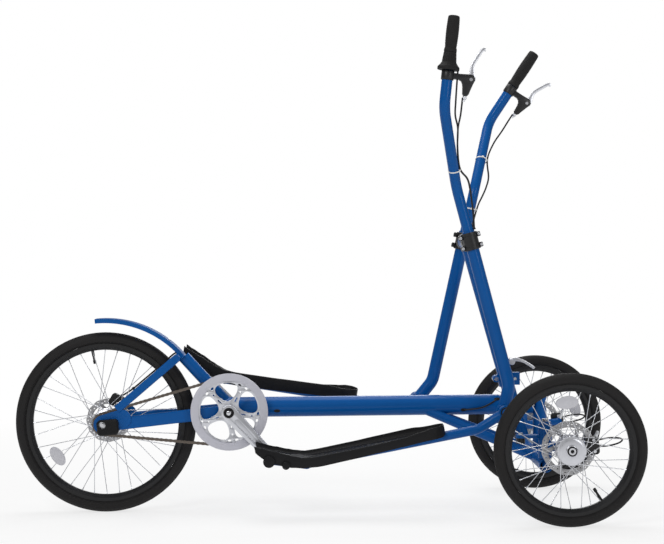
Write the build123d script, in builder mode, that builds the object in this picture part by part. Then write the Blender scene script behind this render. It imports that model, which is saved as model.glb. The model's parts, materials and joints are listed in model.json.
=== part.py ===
from build123d import *
import os
from math import acos, atan2, cos, degrees, hypot, radians, sin

# Elliptical tricycle: two steered wheels in front, one driven wheel behind.
# X points forward, Y to the rider's left, Z up, in millimetres. The origin is on the
# ground under the middle of the whole length. "Out" is a distance from the middle plane.

os.makedirs("parts", exist_ok=True)

RIGHT, LEFT = 1, -1
SIDES = {"right": RIGHT, "left": LEFT}

# Clearances
SEAT_GAP = 0.2
RUNNING = 0.05
SIDE_GAP = 0.5

# Wheels
WHEELBASE = 1226.0
TRACK = 650.0
REAR_TYRE_R = 247.0
REAR_TYRE_W = 46.0
REAR_TYRE_H = 30.0
FRONT_TYRE_R = 197.5
FRONT_TYRE_W = 42.0
FRONT_TYRE_H = 28.5
RIM_W = 27.0
RIM_H = 18.0
SPOKE_D = 2.0
SPOKE_COUNT = 36
SPOKE_SWEEP = 40.0
FLANGE_T = 3.0
REAR_FLANGE_R = 36.0
REAR_FLANGE_OUT = 27.0
REAR_SHELL_R = 27.0
REAR_HUB_HALF = 60.0
REAR_DISC_OUT = 47.0
REAR_DISC_R = 61.0
REAR_AXLE_D = 10.0
REAR_JOURNAL_D = 22.0
FRONT_FLANGE_R = 38.0
FRONT_FLANGE_OUT = 20.0
FRONT_SHELL_R = 17.0
FRONT_HUB_IN = 44.0
FRONT_HUB_OUT = 25.0
FRONT_DISC_IN = 34.0
FRONT_DISC_R = 70.0
STUB_D = 15.0
FRONT_JOURNAL_D = 27.0
DISC_T = 2.0
DISC_SEAT_R = 22.0
DISC_BAND = 17.0

# Drive
REAR_AXLE_TO_CRANK = 341.5
CRANK_Z = 277.0
CRANK_R = 162.0
CRANK_ANGLE = -47.0
CHAIN_LINE = 52.0
CHAIN_W = 7.0
CHAIN_H = 8.4
CHAINRING_PITCH_R = 93.0
SPROCKET_PITCH_R = 28.5
TOOTH_PLATE_T = 4.0
GUARD_R = 105.0
GUARD_BAND = 22.0
GUARD_T = 3.0
GUARD_GAP = 5.0
SPIDER_T = 5.0
SPIDER_ARMS = 5
WINDOW_IN = 30.0
WINDOW_OUT = 74.0
WINDOW_SPREAD = 27.0
SPINDLE_D = 17.0
ARM_IN = 72.0
ARM_T = 14.0
ARM_HUB_D = 40.0
ARM_END_D = 27.0
PIN_D = 14.0
PIN_SHOULDER_D = 22.0
PIN_OUT = 182.0

# Platforms
PLATFORM_LEN = 641.0
BED_IN = 95.0
BED_W = 100.0
BED_WALL = 5.0
BED_FRONT = 472.0
CARRIER_D = 25.4
CARRIER_WALL = 2.5
PIN_SLEEVE_D = 30.0
PIN_SLEEVE_IN = 99.0
EYE_D = 36.0
EYE_IN = 134.0
EYE_OUT = 160.0
EYE_BOLT_D = 22.0
EYE_BOLT_H = 5.0
CARRIER_DROP = 31.2
CARRIER_NOSE = 81.0
CARRIER_START = 95.0
CARRIER_BEND = 60.0
BED_CORNER = 45.0
BED_FLOOR = -14.7
BED_FLOOR_T = 3.6
BED_OUTLINE = [(-25, 24), (-17, 8), (-9, -13), (6, -15), (18, -12), (56, -28), (89, -35.5), (130, -39.5),
               (215, -37.5), (423, -28.5), (BED_FRONT, -28.5), (BED_FRONT, 4), (400, 2), (130, -3),
               (95, -1.5), (50, 13), (18, 26), (-13, 39), (-31, 48)]
TRAY_HOLLOW = [(BED_FRONT - BED_WALL, 60), (BED_FRONT - BED_WALL, BED_FLOOR), (115, BED_FLOOR), (60, -1.5),
               (15, 14.5), (-24, 31), (-24, 60)]
SKIRT_HOLLOW = [(BED_FRONT + BED_WALL, -60), (BED_FRONT + BED_WALL, BED_FLOOR - BED_FLOOR_T),
                (115, BED_FLOOR - BED_FLOOR_T), (60, -5.5), (15, 10.5), (-20, 25.5), (-20, -60)]
OUTER_RIM_DIP = [(50, 60), (50, 9), (93, -9), (120, -12), (288, -11), (357, -8), (417, 0), (440, 4),
                 (440, 60)]

# Frame
MAIN_Z = 284.0
MAIN_D = 55.0
MAIN_WALL = 2.5
MAIN_TO_KINGPIN = 93.75
SHELL_D = 46.0
SHELL_HALF = 36.0
STRUT_D = 34.0
STRUT_WALL = 2.5
FENDER_CLEAR = 32.0
FENDER_W = 50.0
FENDER_T = 12.0
FENDER_SKIN = 3.0
FENDER_START = 39.5
FENDER_END = 95.0
BRIDGE_D = 20.0
BRIDGE_R = 266.0
BRIDGE_ANGLE = 41.5
STAY_H = 34.0
STAY_T = 13.0
STAY_CRANK_OUT = 24.0
DROPOUT_OUT = 62.0
DROPOUT_T = 6.0
DROPOUT_R = 25.5
DROPOUT_REACH = 51.0
DROPOUT_RISE = 15.3
SEAT_STAY_H = 22.0
SEAT_STAY_T = 13.0
SEAT_FOOT_AHEAD = 38.25
SEAT_FOOT_UP = 40.8
AXLE_NUT_D = 19.0
AXLE_NUT_W = 8.0
AXLE_PROUD = 10.0
GEAR_BOX_L = 58.0
GEAR_BOX_H = 42.0
GEAR_BOX_W = 20.0
CALIPER_L = 46.0
CALIPER_H = 34.0
CALIPER_SLOT = 5.0
CALIPER_INNER = 10.0
CALIPER_FOOT_D = 12.0
CALIPER_FOOT_TURN = 7.0
REAR_CALIPER_ANGLE = 62.0
REAR_CALIPER_R = 59.0

# Front end
LEAN_SHAFT_D = 30.0
COLLAR_D = 52.0
BEAM_DROP = 49.5
BEAM_D = 36.0
BEAM_WALL = 2.5
KINGPIN_SETBACK = 52.0
KINGPIN_INSET = 90.0
KINGPIN_D = 18.0
KINGPIN_RISE = 64.5
SLEEVE_D = 36.0
FRONT_POST_D = 38.0
FRONT_STRUT_D = 26.0
FRONT_STRUT_WALL = 2.0
TIE_ROD_RISE = 14.5
TIE_ROD_D = 12.0
STEERING_ARM = 64.0
STEERING_ARM_W = 26.0
STEERING_ARM_T = 8.0
TIE_EYE_D = 24.0
TIE_EYE_H = 13.5
POST_AHEAD = 20.0
POST_RISE = 22.0
BEAM_OVERHANG = 18.0
CAP_D = 30.0
CAP_H = 7.5
STRUT_RUN = 293.75
STRUT_REAR_OUT = 9.0
STRUT_FRONT_OUT = 95.0
STRUT_REAR_DROP = 13.0
AXLE_BOSS_INSET = 79.0
AXLE_BOSS_D = 34.0
KNUCKLE_ARM_D = 26.0
STUB_PROUD = 27.0
STUB_NUT_D = 26.0
STUB_NUT_W = 5.0
CALIPER_TAB_D = 20.0
FRONT_CALIPER_ANGLE = 6.0
FRONT_CALIPER_R = 62.0
FRONT_CALIPER_INNER = 12.0
FRONT_CALIPER_OUTER = 6.0

# Mast and levers
CRANK_TO_PIVOT = 654.5
PIVOT_Z = 733.5
MAST_D = 38.0
MAST_WALL = 2.5
MAST_BELOW_ROD = 20.0
COLLAR_SETBACK = 53.75
MAST_PIN_D = 10.0
HINGE_Z = 355.0
HINGE_H = 34.0
HINGE_D = 46.0
HINGE_LUG = 30.0
HINGE_PIN_D = 18.0
RELEASE_Z = 402.0
RELEASE_D = 18.0
RELEASE_REACH = 62.0
RELEASE_FALL = 17.0
PIVOT_TUBE_D = 42.0
PIVOT_AXLE_D = 20.0
PIVOT_TUBE_HALF = 46.0
PIVOT_AXLE_OUT = 88.0
PIVOT_BOSS_D = 44.0
LEVER_OUT = 108.0
LEVER_D = 34.0
LEVER_WALL = 2.6
LEVER_STRAIGHT = 402.0
LEVER_KICK = 31.0
LEVER_DROP = 463.0
LEVER_TOP = 28.0
BAR_D = LEVER_D - 2 * LEVER_WALL - SEAT_GAP
BAR_WALL = 2.5
GRIP_OUT = 230.0
GRIP_BAR_D = 22.2
GRIP_D = 34.0
GRIP_LEN = 142.0
LEFT_GRIP_LEN = 115.0
CLAMP_D = 48.0
CLAMP_HALF = 30.0
LEVER_BEND = 60.0
LEVER_END_OUT = 125.5
LEVER_BOSS_D = 38.0
BAR_LAP = 60.0
BAR_RISE = 150.0
BAR_BEND = 90.0
GRIP_FOOT = (10.0, 355.0)
GRIP_TOP = (97.0, 579.0)
SHIFTER_LEN = 47.0
SHIFTER_FLANGE_D = 58.0
SHIFTER_FLANGE_T = 8.0
PERCH_LEN = 26.0
PERCH_D = 36.0
PERCH_REACH = 56.0
PERCH_HANG = 44.0
PERCH_BODY_D = 16.0
BLADE_T = 9.0
BLADE_W = 11.0
BLADE_REACH = 86.0
BLADE_KINK = 32.0
BLADE_RISE = 76.0

# Places that follow from the sizes above
REAR_BEAD_R = REAR_TYRE_R - REAR_TYRE_H
REAR_RIM_IN_R = REAR_BEAD_R - RIM_H
FENDER_R = REAR_TYRE_R + FENDER_CLEAR
FRONT_BEAD_R = FRONT_TYRE_R - FRONT_TYRE_H
FRONT_RIM_IN_R = FRONT_BEAD_R - RIM_H
REAR_AXLE_X = (REAR_TYRE_R - FRONT_TYRE_R - WHEELBASE) / 2
FRONT_AXLE_X = REAR_AXLE_X + WHEELBASE
CRANK_X = REAR_AXLE_X + REAR_AXLE_TO_CRANK
PIVOT_X = CRANK_X + CRANK_TO_PIVOT
KINGPIN_X = FRONT_AXLE_X - KINGPIN_SETBACK
KINGPIN_OUT = TRACK / 2 - KINGPIN_INSET
KINGPIN_TOP = FRONT_TYRE_R + KINGPIN_RISE
TIE_ROD_X = KINGPIN_X - STEERING_ARM
TIE_ROD_Z = FRONT_TYRE_R + TIE_ROD_RISE
MAST_FOOT_Z = TIE_ROD_Z - MAST_BELOW_ROD
MAST_AT_COLLAR_X = KINGPIN_X - COLLAR_SETBACK
MAIN_REAR_X = CRANK_X - SHELL_D / 4
MAIN_FRONT_X = KINGPIN_X - MAIN_TO_KINGPIN
STRUT_REAR_X = KINGPIN_X - STRUT_RUN
BEAM_Z = FRONT_TYRE_R - BEAM_DROP
BEAM_TOP = BEAM_Z + BEAM_D / 2
BEAM_END_OUT = KINGPIN_OUT + BEAM_OVERHANG
POST_X = KINGPIN_X + POST_AHEAD
POST_TOP = MAIN_Z + POST_RISE
COLLAR_FRONT_X = POST_X - FRONT_POST_D / 2 - SIDE_GAP
COLLAR_REAR_X = MAIN_FRONT_X + SIDE_GAP
AXLE_BOSS_IN = TRACK / 2 - AXLE_BOSS_INSET
STUB_END = TRACK / 2 + STUB_PROUD
FRONT_DISC_OUT = TRACK / 2 - FRONT_DISC_IN
BRIDGE_HALF = DROPOUT_OUT - SEAT_STAY_T
DROPOUT_MID = DROPOUT_OUT + DROPOUT_T / 2
AXLE_HALF = DROPOUT_OUT + DROPOUT_T + AXLE_NUT_W + AXLE_PROUD
TOOTH_R = CHAINRING_PITCH_R - CHAIN_H / 2 - SIDE_GAP
GUARD_OUT = CHAIN_LINE + CHAIN_W / 2 + GUARD_GAP
SPIDER_IN = CHAIN_LINE + TOOTH_PLATE_T / 2
CARRIER_STRAIGHT = PLATFORM_LEN - CARRIER_NOSE
BED_OUT = BED_IN + BED_W
BED_MID = BED_IN + BED_W / 2
PIVOT_PLACE = (PIVOT_X, PIVOT_Z)


def side_plane(x, z, angle=0.0, out=0.0):
    """A plane seen from the rider's right: local x forward, y up, z to the right."""
    turn = radians(angle)
    return Plane(origin=(x, -out, z), x_dir=(cos(turn), 0, sin(turn)), z_dir=(0, -1, 0))


def tube(points, outer_d, wall, bend=0.0):
    """Add a round tube along straight runs joined by arcs to the part being built."""
    with BuildLine() as path:
        if len(points) == 2:
            Line(*points)
        else:
            FilletPolyline(*points, radius=bend)
    line = path.wire()
    with BuildSketch(Plane(origin=line @ 0, z_dir=line % 0)) as section:
        Circle(outer_d / 2)
        if wall:
            Circle(outer_d / 2 - wall, mode=Mode.SUBTRACT)
    sweep(section.sketch, path=line)


def rod(start, end, diameter, mode=Mode.ADD):
    """Add a straight round bar from one point to another to the part being built."""
    run = Vector(*end) - Vector(*start)
    with BuildSketch(Plane(origin=start, z_dir=run)) as section:
        Circle(diameter / 2)
    extrude(section.sketch, amount=run.length, mode=mode)


def cross_bar(place, side, out_from, out_to, diameter, mode=Mode.ADD):
    """Add a round bar along Y between two distances from the middle plane."""
    with BuildSketch(side_plane(*place, out=side * out_from)) as section:
        Circle(diameter / 2)
    extrude(section.sketch, amount=side * (out_to - out_from), mode=mode)


def finish(builder, name):
    builder.part.label = name
    export_step(builder.part, f"parts/{name}.step")


def circle_meet(pin, reach, pivot, radius):
    """The lower of the two points at the given distances from pin and pivot."""
    gap_x, gap_z = pivot[0] - pin[0], pivot[1] - pin[1]
    gap = hypot(gap_x, gap_z)
    bearing = atan2(gap_z, gap_x)
    opening = acos((reach**2 + gap**2 - radius**2) / (2 * reach * gap))
    return (pin[0] + reach * cos(bearing - opening), pin[1] + reach * sin(bearing - opening))


# The linkage at rest: crank pins, platform eyes and the tilt of each piece
LEVER_REACH = hypot(LEVER_KICK, LEVER_DROP)
LEVER_SET_BACK = degrees(atan2(LEVER_KICK, LEVER_DROP))
crank_turn = {"right": CRANK_ANGLE, "left": CRANK_ANGLE + 180}
pin_place = {}
eye_place = {}
platform_tilt = {}
lever_tilt = {}
for name in SIDES:
    turn = radians(crank_turn[name])
    pin_place[name] = (CRANK_X + CRANK_R * cos(turn), CRANK_Z + CRANK_R * sin(turn))
    eye_place[name] = circle_meet(pin_place[name], PLATFORM_LEN, PIVOT_PLACE, LEVER_REACH)
    eye, pin = eye_place[name], pin_place[name]
    platform_tilt[name] = degrees(atan2(eye[1] - pin[1], eye[0] - pin[0]))
    lever_tilt[name] = degrees(atan2(eye[0] - PIVOT_X, PIVOT_Z - eye[1])) + LEVER_SET_BACK

lever_plane = {name: side_plane(PIVOT_X, PIVOT_Z, lever_tilt[name]) for name in SIDES}


def on_lever(name, forward, up, out):
    """A point of one lever, from its pivot, as a place in the whole object."""
    return tuple(lever_plane[name].from_local_coords((forward, up, SIDES[name] * out)))


# Wheels: a tyre, a rim, laced spokes and a hub with its brake disc
def build_tyre(name, place, radius, bead_r, width):
    middle = (radius + bead_r) / 2 - (radius - bead_r) / 8
    with BuildPart() as tyre:
        with BuildSketch(Plane(origin=place)):
            with Locations((middle, 0)):
                Ellipse(radius - middle, width / 2)
            with Locations((bead_r, 0)):
                Rectangle(radius, 2 * width, align=(Align.MAX, Align.CENTER), mode=Mode.SUBTRACT)
        revolve(axis=Axis(place, (0, 1, 0)))
    finish(tyre, name)


def build_rim(name, place, bead_r, inner_r):
    seat = bead_r - SEAT_GAP
    half = RIM_W / 2
    shoulder = (seat + inner_r) / 2
    with BuildPart() as rim:
        with BuildSketch(Plane(origin=place)):
            with BuildLine():
                Polyline((inner_r, -half / 3), (shoulder, -half), (seat, -half), (seat, half),
                         (shoulder, half), (inner_r, half / 3), close=True)
            make_face()
        revolve(axis=Axis(place, (0, 1, 0)))
    finish(rim, name)


def build_spokes(name, place, flange_r, flange_out, rim_r):
    """Each flange holds half the spokes, which leave it by turns from its two faces."""
    step = 720 / SPOKE_COUNT
    face = FLANGE_T / 2 + SPOKE_D / 2 + SEAT_GAP
    start_r = flange_r + SPOKE_D / 2
    end_r = rim_r - SEAT_GAP - SPOKE_D / 2
    lean_in = RIM_W / 12
    with BuildPart() as spokes:
        for flange in (RIGHT, LEFT):
            for index in range(SPOKE_COUNT // 2):
                turn = 1 if index % 2 else -1
                start_angle = radians(step * index + (step / 2 if flange == LEFT else 0))
                end_angle = start_angle + turn * radians(SPOKE_SWEEP)
                start_out = flange * flange_out + turn * face
                start = (place[0] + start_r * cos(start_angle), place[1] - start_out,
                         place[2] + start_r * sin(start_angle))
                end = (place[0] + end_r * cos(end_angle), place[1] - flange * lean_in,
                       place[2] + end_r * sin(end_angle))
                rod(start, end, SPOKE_D)
    finish(spokes, name)


def add_disc(place, out, outer_r, hub_r):
    """Add a brake disc with a hub plate, arms and a ring, to the hub being built."""
    with BuildSketch(side_plane(place[0], place[2], out=out - DISC_T / 2)) as section:
        Circle(outer_r)
        Circle(outer_r - DISC_BAND, mode=Mode.SUBTRACT)
        Circle(hub_r)
        with PolarLocations(0, SPIDER_ARMS):
            with Locations(((outer_r - DISC_BAND / 2) / 2, 0)):
                Rectangle(outer_r - DISC_BAND / 2, DISC_BAND / 2)
    extrude(section.sketch, amount=DISC_T)


rear_place = (REAR_AXLE_X, 0, REAR_TYRE_R)
build_tyre("rear_tyre", rear_place, REAR_TYRE_R, REAR_BEAD_R, REAR_TYRE_W)
build_rim("rear_rim", rear_place, REAR_BEAD_R, REAR_RIM_IN_R)
build_spokes("rear_spokes", rear_place, REAR_FLANGE_R, REAR_FLANGE_OUT, REAR_RIM_IN_R)

rear_spot = (REAR_AXLE_X, REAR_TYRE_R)
with BuildPart() as rear_hub:
    cross_bar(rear_spot, RIGHT, -REAR_HUB_HALF, REAR_HUB_HALF, REAR_JOURNAL_D)
    cross_bar(rear_spot, RIGHT, -REAR_FLANGE_OUT, REAR_FLANGE_OUT, REAR_SHELL_R * 2)
    for flange in (RIGHT, LEFT):
        middle = flange * REAR_FLANGE_OUT
        cross_bar(rear_spot, RIGHT, middle - FLANGE_T / 2, middle + FLANGE_T / 2, REAR_FLANGE_R * 2)
    cross_bar(rear_spot, RIGHT, CHAIN_LINE - TOOTH_PLATE_T / 2, CHAIN_LINE + TOOTH_PLATE_T / 2,
              SPROCKET_PITCH_R * 2 - CHAIN_H - SIDE_GAP)
    add_disc(rear_place, -REAR_DISC_OUT, REAR_DISC_R, DISC_SEAT_R)
    cross_bar(rear_spot, RIGHT, -REAR_HUB_HALF, REAR_HUB_HALF, REAR_AXLE_D + 2 * RUNNING, Mode.SUBTRACT)
finish(rear_hub, "rear_hub")

for name, side in SIDES.items():
    wheel_place = (FRONT_AXLE_X, -side * TRACK / 2, FRONT_TYRE_R)
    wheel_spot = (FRONT_AXLE_X, FRONT_TYRE_R)
    wheel_out = TRACK / 2
    build_tyre(f"{name}_front_tyre", wheel_place, FRONT_TYRE_R, FRONT_BEAD_R, FRONT_TYRE_W)
    build_rim(f"{name}_front_rim", wheel_place, FRONT_BEAD_R, FRONT_RIM_IN_R)
    build_spokes(f"{name}_front_spokes", wheel_place, FRONT_FLANGE_R, FRONT_FLANGE_OUT, FRONT_RIM_IN_R)
    with BuildPart() as front_hub:
        cross_bar(wheel_spot, side, wheel_out - FRONT_HUB_IN, wheel_out + FRONT_HUB_OUT, FRONT_JOURNAL_D)
        cross_bar(wheel_spot, side, wheel_out - FRONT_FLANGE_OUT, wheel_out + FRONT_FLANGE_OUT,
                  FRONT_SHELL_R * 2)
        for flange in (RIGHT, LEFT):
            middle = wheel_out + flange * FRONT_FLANGE_OUT
            cross_bar(wheel_spot, side, middle - FLANGE_T / 2, middle + FLANGE_T / 2, FRONT_FLANGE_R * 2)
        add_disc(wheel_place, side * FRONT_DISC_OUT, FRONT_DISC_R, DISC_SEAT_R)
        cross_bar(wheel_spot, side, wheel_out - FRONT_HUB_IN, wheel_out + FRONT_HUB_OUT,
                  STUB_D + 2 * RUNNING, Mode.SUBTRACT)
    finish(front_hub, f"{name}_front_hub")

# Main tube with the crank's shell behind and the mast's lean shaft in front
with BuildPart() as main_tube:
    tube([(MAIN_REAR_X, 0, MAIN_Z), (MAIN_FRONT_X, 0, MAIN_Z)], MAIN_D, MAIN_WALL)
    rod((MAIN_FRONT_X - MAIN_D / 4, 0, MAIN_Z), (MAIN_FRONT_X, 0, MAIN_Z), MAIN_D)
    rod((MAIN_FRONT_X - MAIN_D / 4, 0, MAIN_Z), (KINGPIN_X, 0, MAIN_Z), LEAN_SHAFT_D)
    cross_bar((CRANK_X, CRANK_Z), RIGHT, -SHELL_HALF, SHELL_HALF, SHELL_D)
    cross_bar((CRANK_X, CRANK_Z), RIGHT, -SHELL_HALF, SHELL_HALF, SPINDLE_D + 2 * RUNNING, Mode.SUBTRACT)
finish(main_tube, "main_tube")

# Rear strut from the main tube up to the fender, with the bridge for the seat stays
def around_rear_axle(radius, angle):
    turn = radians(angle)
    return (REAR_AXLE_X + radius * cos(turn), REAR_TYRE_R + radius * sin(turn))


strut_top = around_rear_axle(FENDER_R, FENDER_START)
bridge_spot = around_rear_axle(BRIDGE_R, BRIDGE_ANGLE)
with BuildPart() as rear_strut:
    tube([(CRANK_X, 0, MAIN_Z), (strut_top[0], 0, strut_top[1])], STRUT_D, STRUT_WALL)
    cross_bar(bridge_spot, RIGHT, -BRIDGE_HALF, BRIDGE_HALF, BRIDGE_D)
    rod((MAIN_REAR_X, 0, MAIN_Z), (CRANK_X + MAIN_D, 0, MAIN_Z), MAIN_D, Mode.SUBTRACT)
    cross_bar((CRANK_X, CRANK_Z), RIGHT, -SHELL_HALF, SHELL_HALF, SHELL_D, Mode.SUBTRACT)
finish(rear_strut, "rear_strut")

# Fender: a channel around the rear tyre, carried by the strut
with BuildPart() as rear_fender:
    with BuildSketch(Plane(origin=rear_place)):
        with Locations((FENDER_R, 0)):
            Rectangle(FENDER_T, FENDER_W)
        with Locations((FENDER_R - FENDER_SKIN, 0)):
            Rectangle(FENDER_T, FENDER_W - 2 * FENDER_SKIN, mode=Mode.SUBTRACT)
    revolve(axis=Axis(rear_place, (0, -1, 0)), revolution_arc=FENDER_END)
    with BuildSketch(side_plane(*rear_spot, out=-FENDER_W)):
        with BuildLine():
            Polyline((0, 0), (FENDER_R * 2, 0), (FENDER_R * 2 * cos(radians(FENDER_START)),
                     FENDER_R * 2 * sin(radians(FENDER_START))), close=True)
        make_face()
    extrude(amount=2 * FENDER_W, mode=Mode.SUBTRACT)
    rod((CRANK_X, 0, MAIN_Z), (strut_top[0], 0, strut_top[1]), STRUT_D, Mode.SUBTRACT)
    cross_bar(bridge_spot, RIGHT, -BRIDGE_HALF, BRIDGE_HALF, BRIDGE_D, Mode.SUBTRACT)
finish(rear_fender, "rear_fender")

# Chain stays, each with the dropout plate that holds the rear axle
stay_rise = degrees(atan2(CRANK_Z - REAR_TYRE_R, REAR_AXLE_TO_CRANK))
for name, side in SIDES.items():
    stay_start = Vector(CRANK_X, -side * STAY_CRANK_OUT, CRANK_Z)
    stay_end = Vector(REAR_AXLE_X + DROPOUT_R, -side * DROPOUT_MID, REAR_TYRE_R)
    stay_run = stay_end - stay_start
    with BuildPart() as chain_stay:
        with BuildSketch(Plane(origin=stay_start, x_dir=(0, 1, 0), z_dir=stay_run)):
            RectangleRounded(STAY_T, STAY_H, STAY_T / 3)
        extrude(amount=stay_run.length)
        with BuildSketch(side_plane(*rear_spot, out=side * DROPOUT_OUT)):
            with Locations((0, 0), (DROPOUT_REACH, DROPOUT_RISE)):
                Circle(DROPOUT_R)
            make_hull()
        extrude(amount=side * DROPOUT_T)
        cross_bar(rear_spot, side, 0, TRACK / 2, REAR_AXLE_D + SEAT_GAP, Mode.SUBTRACT)
        cross_bar((CRANK_X, CRANK_Z), side, 0, SHELL_HALF * 2, SHELL_D, Mode.SUBTRACT)
        rod((MAIN_REAR_X, 0, MAIN_Z), (CRANK_X + MAIN_D, 0, MAIN_Z), MAIN_D, Mode.SUBTRACT)
    finish(chain_stay, f"{name}_chain_stay")

# Seat stays from the bridge down to the dropouts
stay_foot = (REAR_AXLE_X + SEAT_FOOT_AHEAD, REAR_TYRE_R + SEAT_FOOT_UP)
for name, side in SIDES.items():
    foot = Vector(stay_foot[0], -side * DROPOUT_MID, stay_foot[1])
    top = Vector(bridge_spot[0], -side * (BRIDGE_HALF + SEAT_STAY_T / 2), bridge_spot[1])
    stay_run = foot - top
    with BuildPart() as seat_stay:
        with BuildSketch(Plane(origin=top, x_dir=(0, 1, 0), z_dir=stay_run)):
            RectangleRounded(SEAT_STAY_T, SEAT_STAY_H, SEAT_STAY_T / 3)
        extrude(amount=stay_run.length)
        cross_bar(bridge_spot, side, BRIDGE_HALF, BRIDGE_HALF + SEAT_STAY_T, SEAT_STAY_H)
        cross_bar(bridge_spot, side, 0, BRIDGE_HALF, SEAT_STAY_H * 2, Mode.SUBTRACT)
        with BuildSketch(side_plane(*rear_spot, out=side * DROPOUT_OUT)):
            with Locations((0, 0), (DROPOUT_REACH, DROPOUT_RISE)):
                Circle(DROPOUT_R)
            make_hull()
        extrude(amount=side * DROPOUT_T, mode=Mode.SUBTRACT)
    finish(seat_stay, f"{name}_seat_stay")

# Rear axle, held in the dropouts by a nut on each side
with BuildPart() as rear_axle:
    cross_bar(rear_spot, RIGHT, -AXLE_HALF, AXLE_HALF, REAR_AXLE_D)
    for side in SIDES.values():
        cross_bar(rear_spot, side, DROPOUT_OUT + DROPOUT_T, AXLE_HALF - AXLE_PROUD, AXLE_NUT_D)
finish(rear_axle, "rear_axle")

# Gear change box of the rear hub, outside the right dropout
with BuildPart() as gear_box:
    with BuildSketch(side_plane(*rear_spot, stay_rise, DROPOUT_MID + STAY_T / 2 + SIDE_GAP)):
        with Locations((GEAR_BOX_L / 4, -GEAR_BOX_H / 6)):
            RectangleRounded(GEAR_BOX_L, GEAR_BOX_H, GEAR_BOX_H / 4)
        Circle(AXLE_NUT_D / 2 + SEAT_GAP, mode=Mode.SUBTRACT)
    extrude(amount=GEAR_BOX_W)
    chamfer(gear_box.faces().sort_by(Axis.Y)[0].outer_wire().edges(), GEAR_BOX_W / 5)
finish(gear_box, "hub_gear_box")


# Brake calipers: a block over the disc's edge, slotted for the disc
def add_caliper(axle, angle, radius, out, side, out_from, out_to):
    """Add a caliper that straddles a disc's rim to the part being built."""
    turn = radians(angle)
    spot = (axle[0] + radius * cos(turn), axle[1] + radius * sin(turn))
    with BuildSketch(side_plane(*spot, angle - 90, side * out_from)) as block:
        RectangleRounded(CALIPER_L, CALIPER_H, CALIPER_H / 4)
    extrude(block.sketch, amount=side * (out_to - out_from))
    with BuildSketch(side_plane(*axle, out=side * (out - CALIPER_SLOT / 2))) as slot:
        Circle(radius + CALIPER_H / 4)
    extrude(slot.sketch, amount=side * CALIPER_SLOT, mode=Mode.SUBTRACT)


with BuildPart() as rear_caliper:
    add_caliper(rear_spot, REAR_CALIPER_ANGLE, REAR_CALIPER_R, REAR_DISC_OUT, LEFT,
                REAR_DISC_OUT - CALIPER_INNER, DROPOUT_OUT - SEAT_STAY_T / 2)
    foot_spot = around_rear_axle(REAR_DISC_R - CALIPER_H / 2, REAR_CALIPER_ANGLE - CALIPER_FOOT_TURN)
    cross_bar(foot_spot, LEFT, DROPOUT_OUT - SEAT_STAY_T, DROPOUT_OUT - SEAT_GAP, CALIPER_FOOT_D)
finish(rear_caliper, "rear_caliper")

# Chain: one loop around the chainring and the rear sprocket
chain_gap = hypot(REAR_AXLE_TO_CRANK, CRANK_Z - REAR_TYRE_R)
with BuildPart() as chain:
    chain_plane = side_plane(*rear_spot, stay_rise, CHAIN_LINE - CHAIN_W / 2)
    with BuildSketch(chain_plane):
        with Locations((0, 0)):
            Circle(SPROCKET_PITCH_R + CHAIN_H / 2)
        with Locations((chain_gap, 0)):
            Circle(CHAINRING_PITCH_R + CHAIN_H / 2)
        make_hull()
    extrude(amount=CHAIN_W)
    with BuildSketch(chain_plane):
        with Locations((0, 0)):
            Circle(SPROCKET_PITCH_R - CHAIN_H / 2)
        with Locations((chain_gap, 0)):
            Circle(CHAINRING_PITCH_R - CHAIN_H / 2)
        make_hull()
    extrude(amount=CHAIN_W, mode=Mode.SUBTRACT)
finish(chain, "chain")

# Crank set: chainring with guard and spider, spindle, two arms with platform pins
crank_spot = (CRANK_X, CRANK_Z)
window_side = (WINDOW_OUT * cos(radians(WINDOW_SPREAD)), WINDOW_OUT * sin(radians(WINDOW_SPREAD)))
with BuildPart() as chainring:
    with BuildSketch(side_plane(*crank_spot, out=CHAIN_LINE - TOOTH_PLATE_T / 2)):
        Circle(TOOTH_R)
        Circle(WINDOW_OUT, mode=Mode.SUBTRACT)
    extrude(amount=GUARD_OUT - CHAIN_LINE + TOOTH_PLATE_T / 2)
    with BuildSketch(side_plane(*crank_spot, out=GUARD_OUT)):
        Circle(GUARD_R)
        Circle(GUARD_R - GUARD_BAND, mode=Mode.SUBTRACT)
    extrude(amount=GUARD_T)
    with BuildSketch(side_plane(*crank_spot, CRANK_ANGLE, SPIDER_IN)):
        Circle(GUARD_R - GUARD_BAND + SPIDER_T)
        with PolarLocations(0, SPIDER_ARMS):
            Polygon((WINDOW_IN, 0), (window_side[0], -window_side[1]), (WINDOW_OUT, 0),
                    window_side, align=None, mode=Mode.SUBTRACT)
        Circle(SPINDLE_D / 2 + SEAT_GAP, mode=Mode.SUBTRACT)
    extrude(amount=SPIDER_T)
finish(chainring, "chainring")

with BuildPart() as crank_spindle:
    cross_bar(crank_spot, RIGHT, -ARM_IN, ARM_IN, SPINDLE_D)
finish(crank_spindle, "crank_spindle")

for name, side in SIDES.items():
    with BuildPart() as crank_arm:
        with BuildSketch(side_plane(*crank_spot, crank_turn[name], side * ARM_IN)):
            Circle(ARM_HUB_D / 2)
            with Locations((CRANK_R, 0)):
                Circle(ARM_END_D / 2)
            make_hull()
        extrude(amount=side * ARM_T)
        cross_bar(crank_spot, side, SPIDER_IN + SPIDER_T, ARM_IN, ARM_HUB_D)
        cross_bar(crank_spot, side, SPIDER_IN + SPIDER_T, ARM_IN, SPINDLE_D + SEAT_GAP, Mode.SUBTRACT)
        cross_bar(pin_place[name], side, ARM_IN + ARM_T, PIN_SLEEVE_IN - SIDE_GAP, PIN_SHOULDER_D)
        cross_bar(pin_place[name], side, ARM_IN + ARM_T, PIN_OUT, PIN_D)
    finish(crank_arm, f"{name}_crank_arm")

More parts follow.
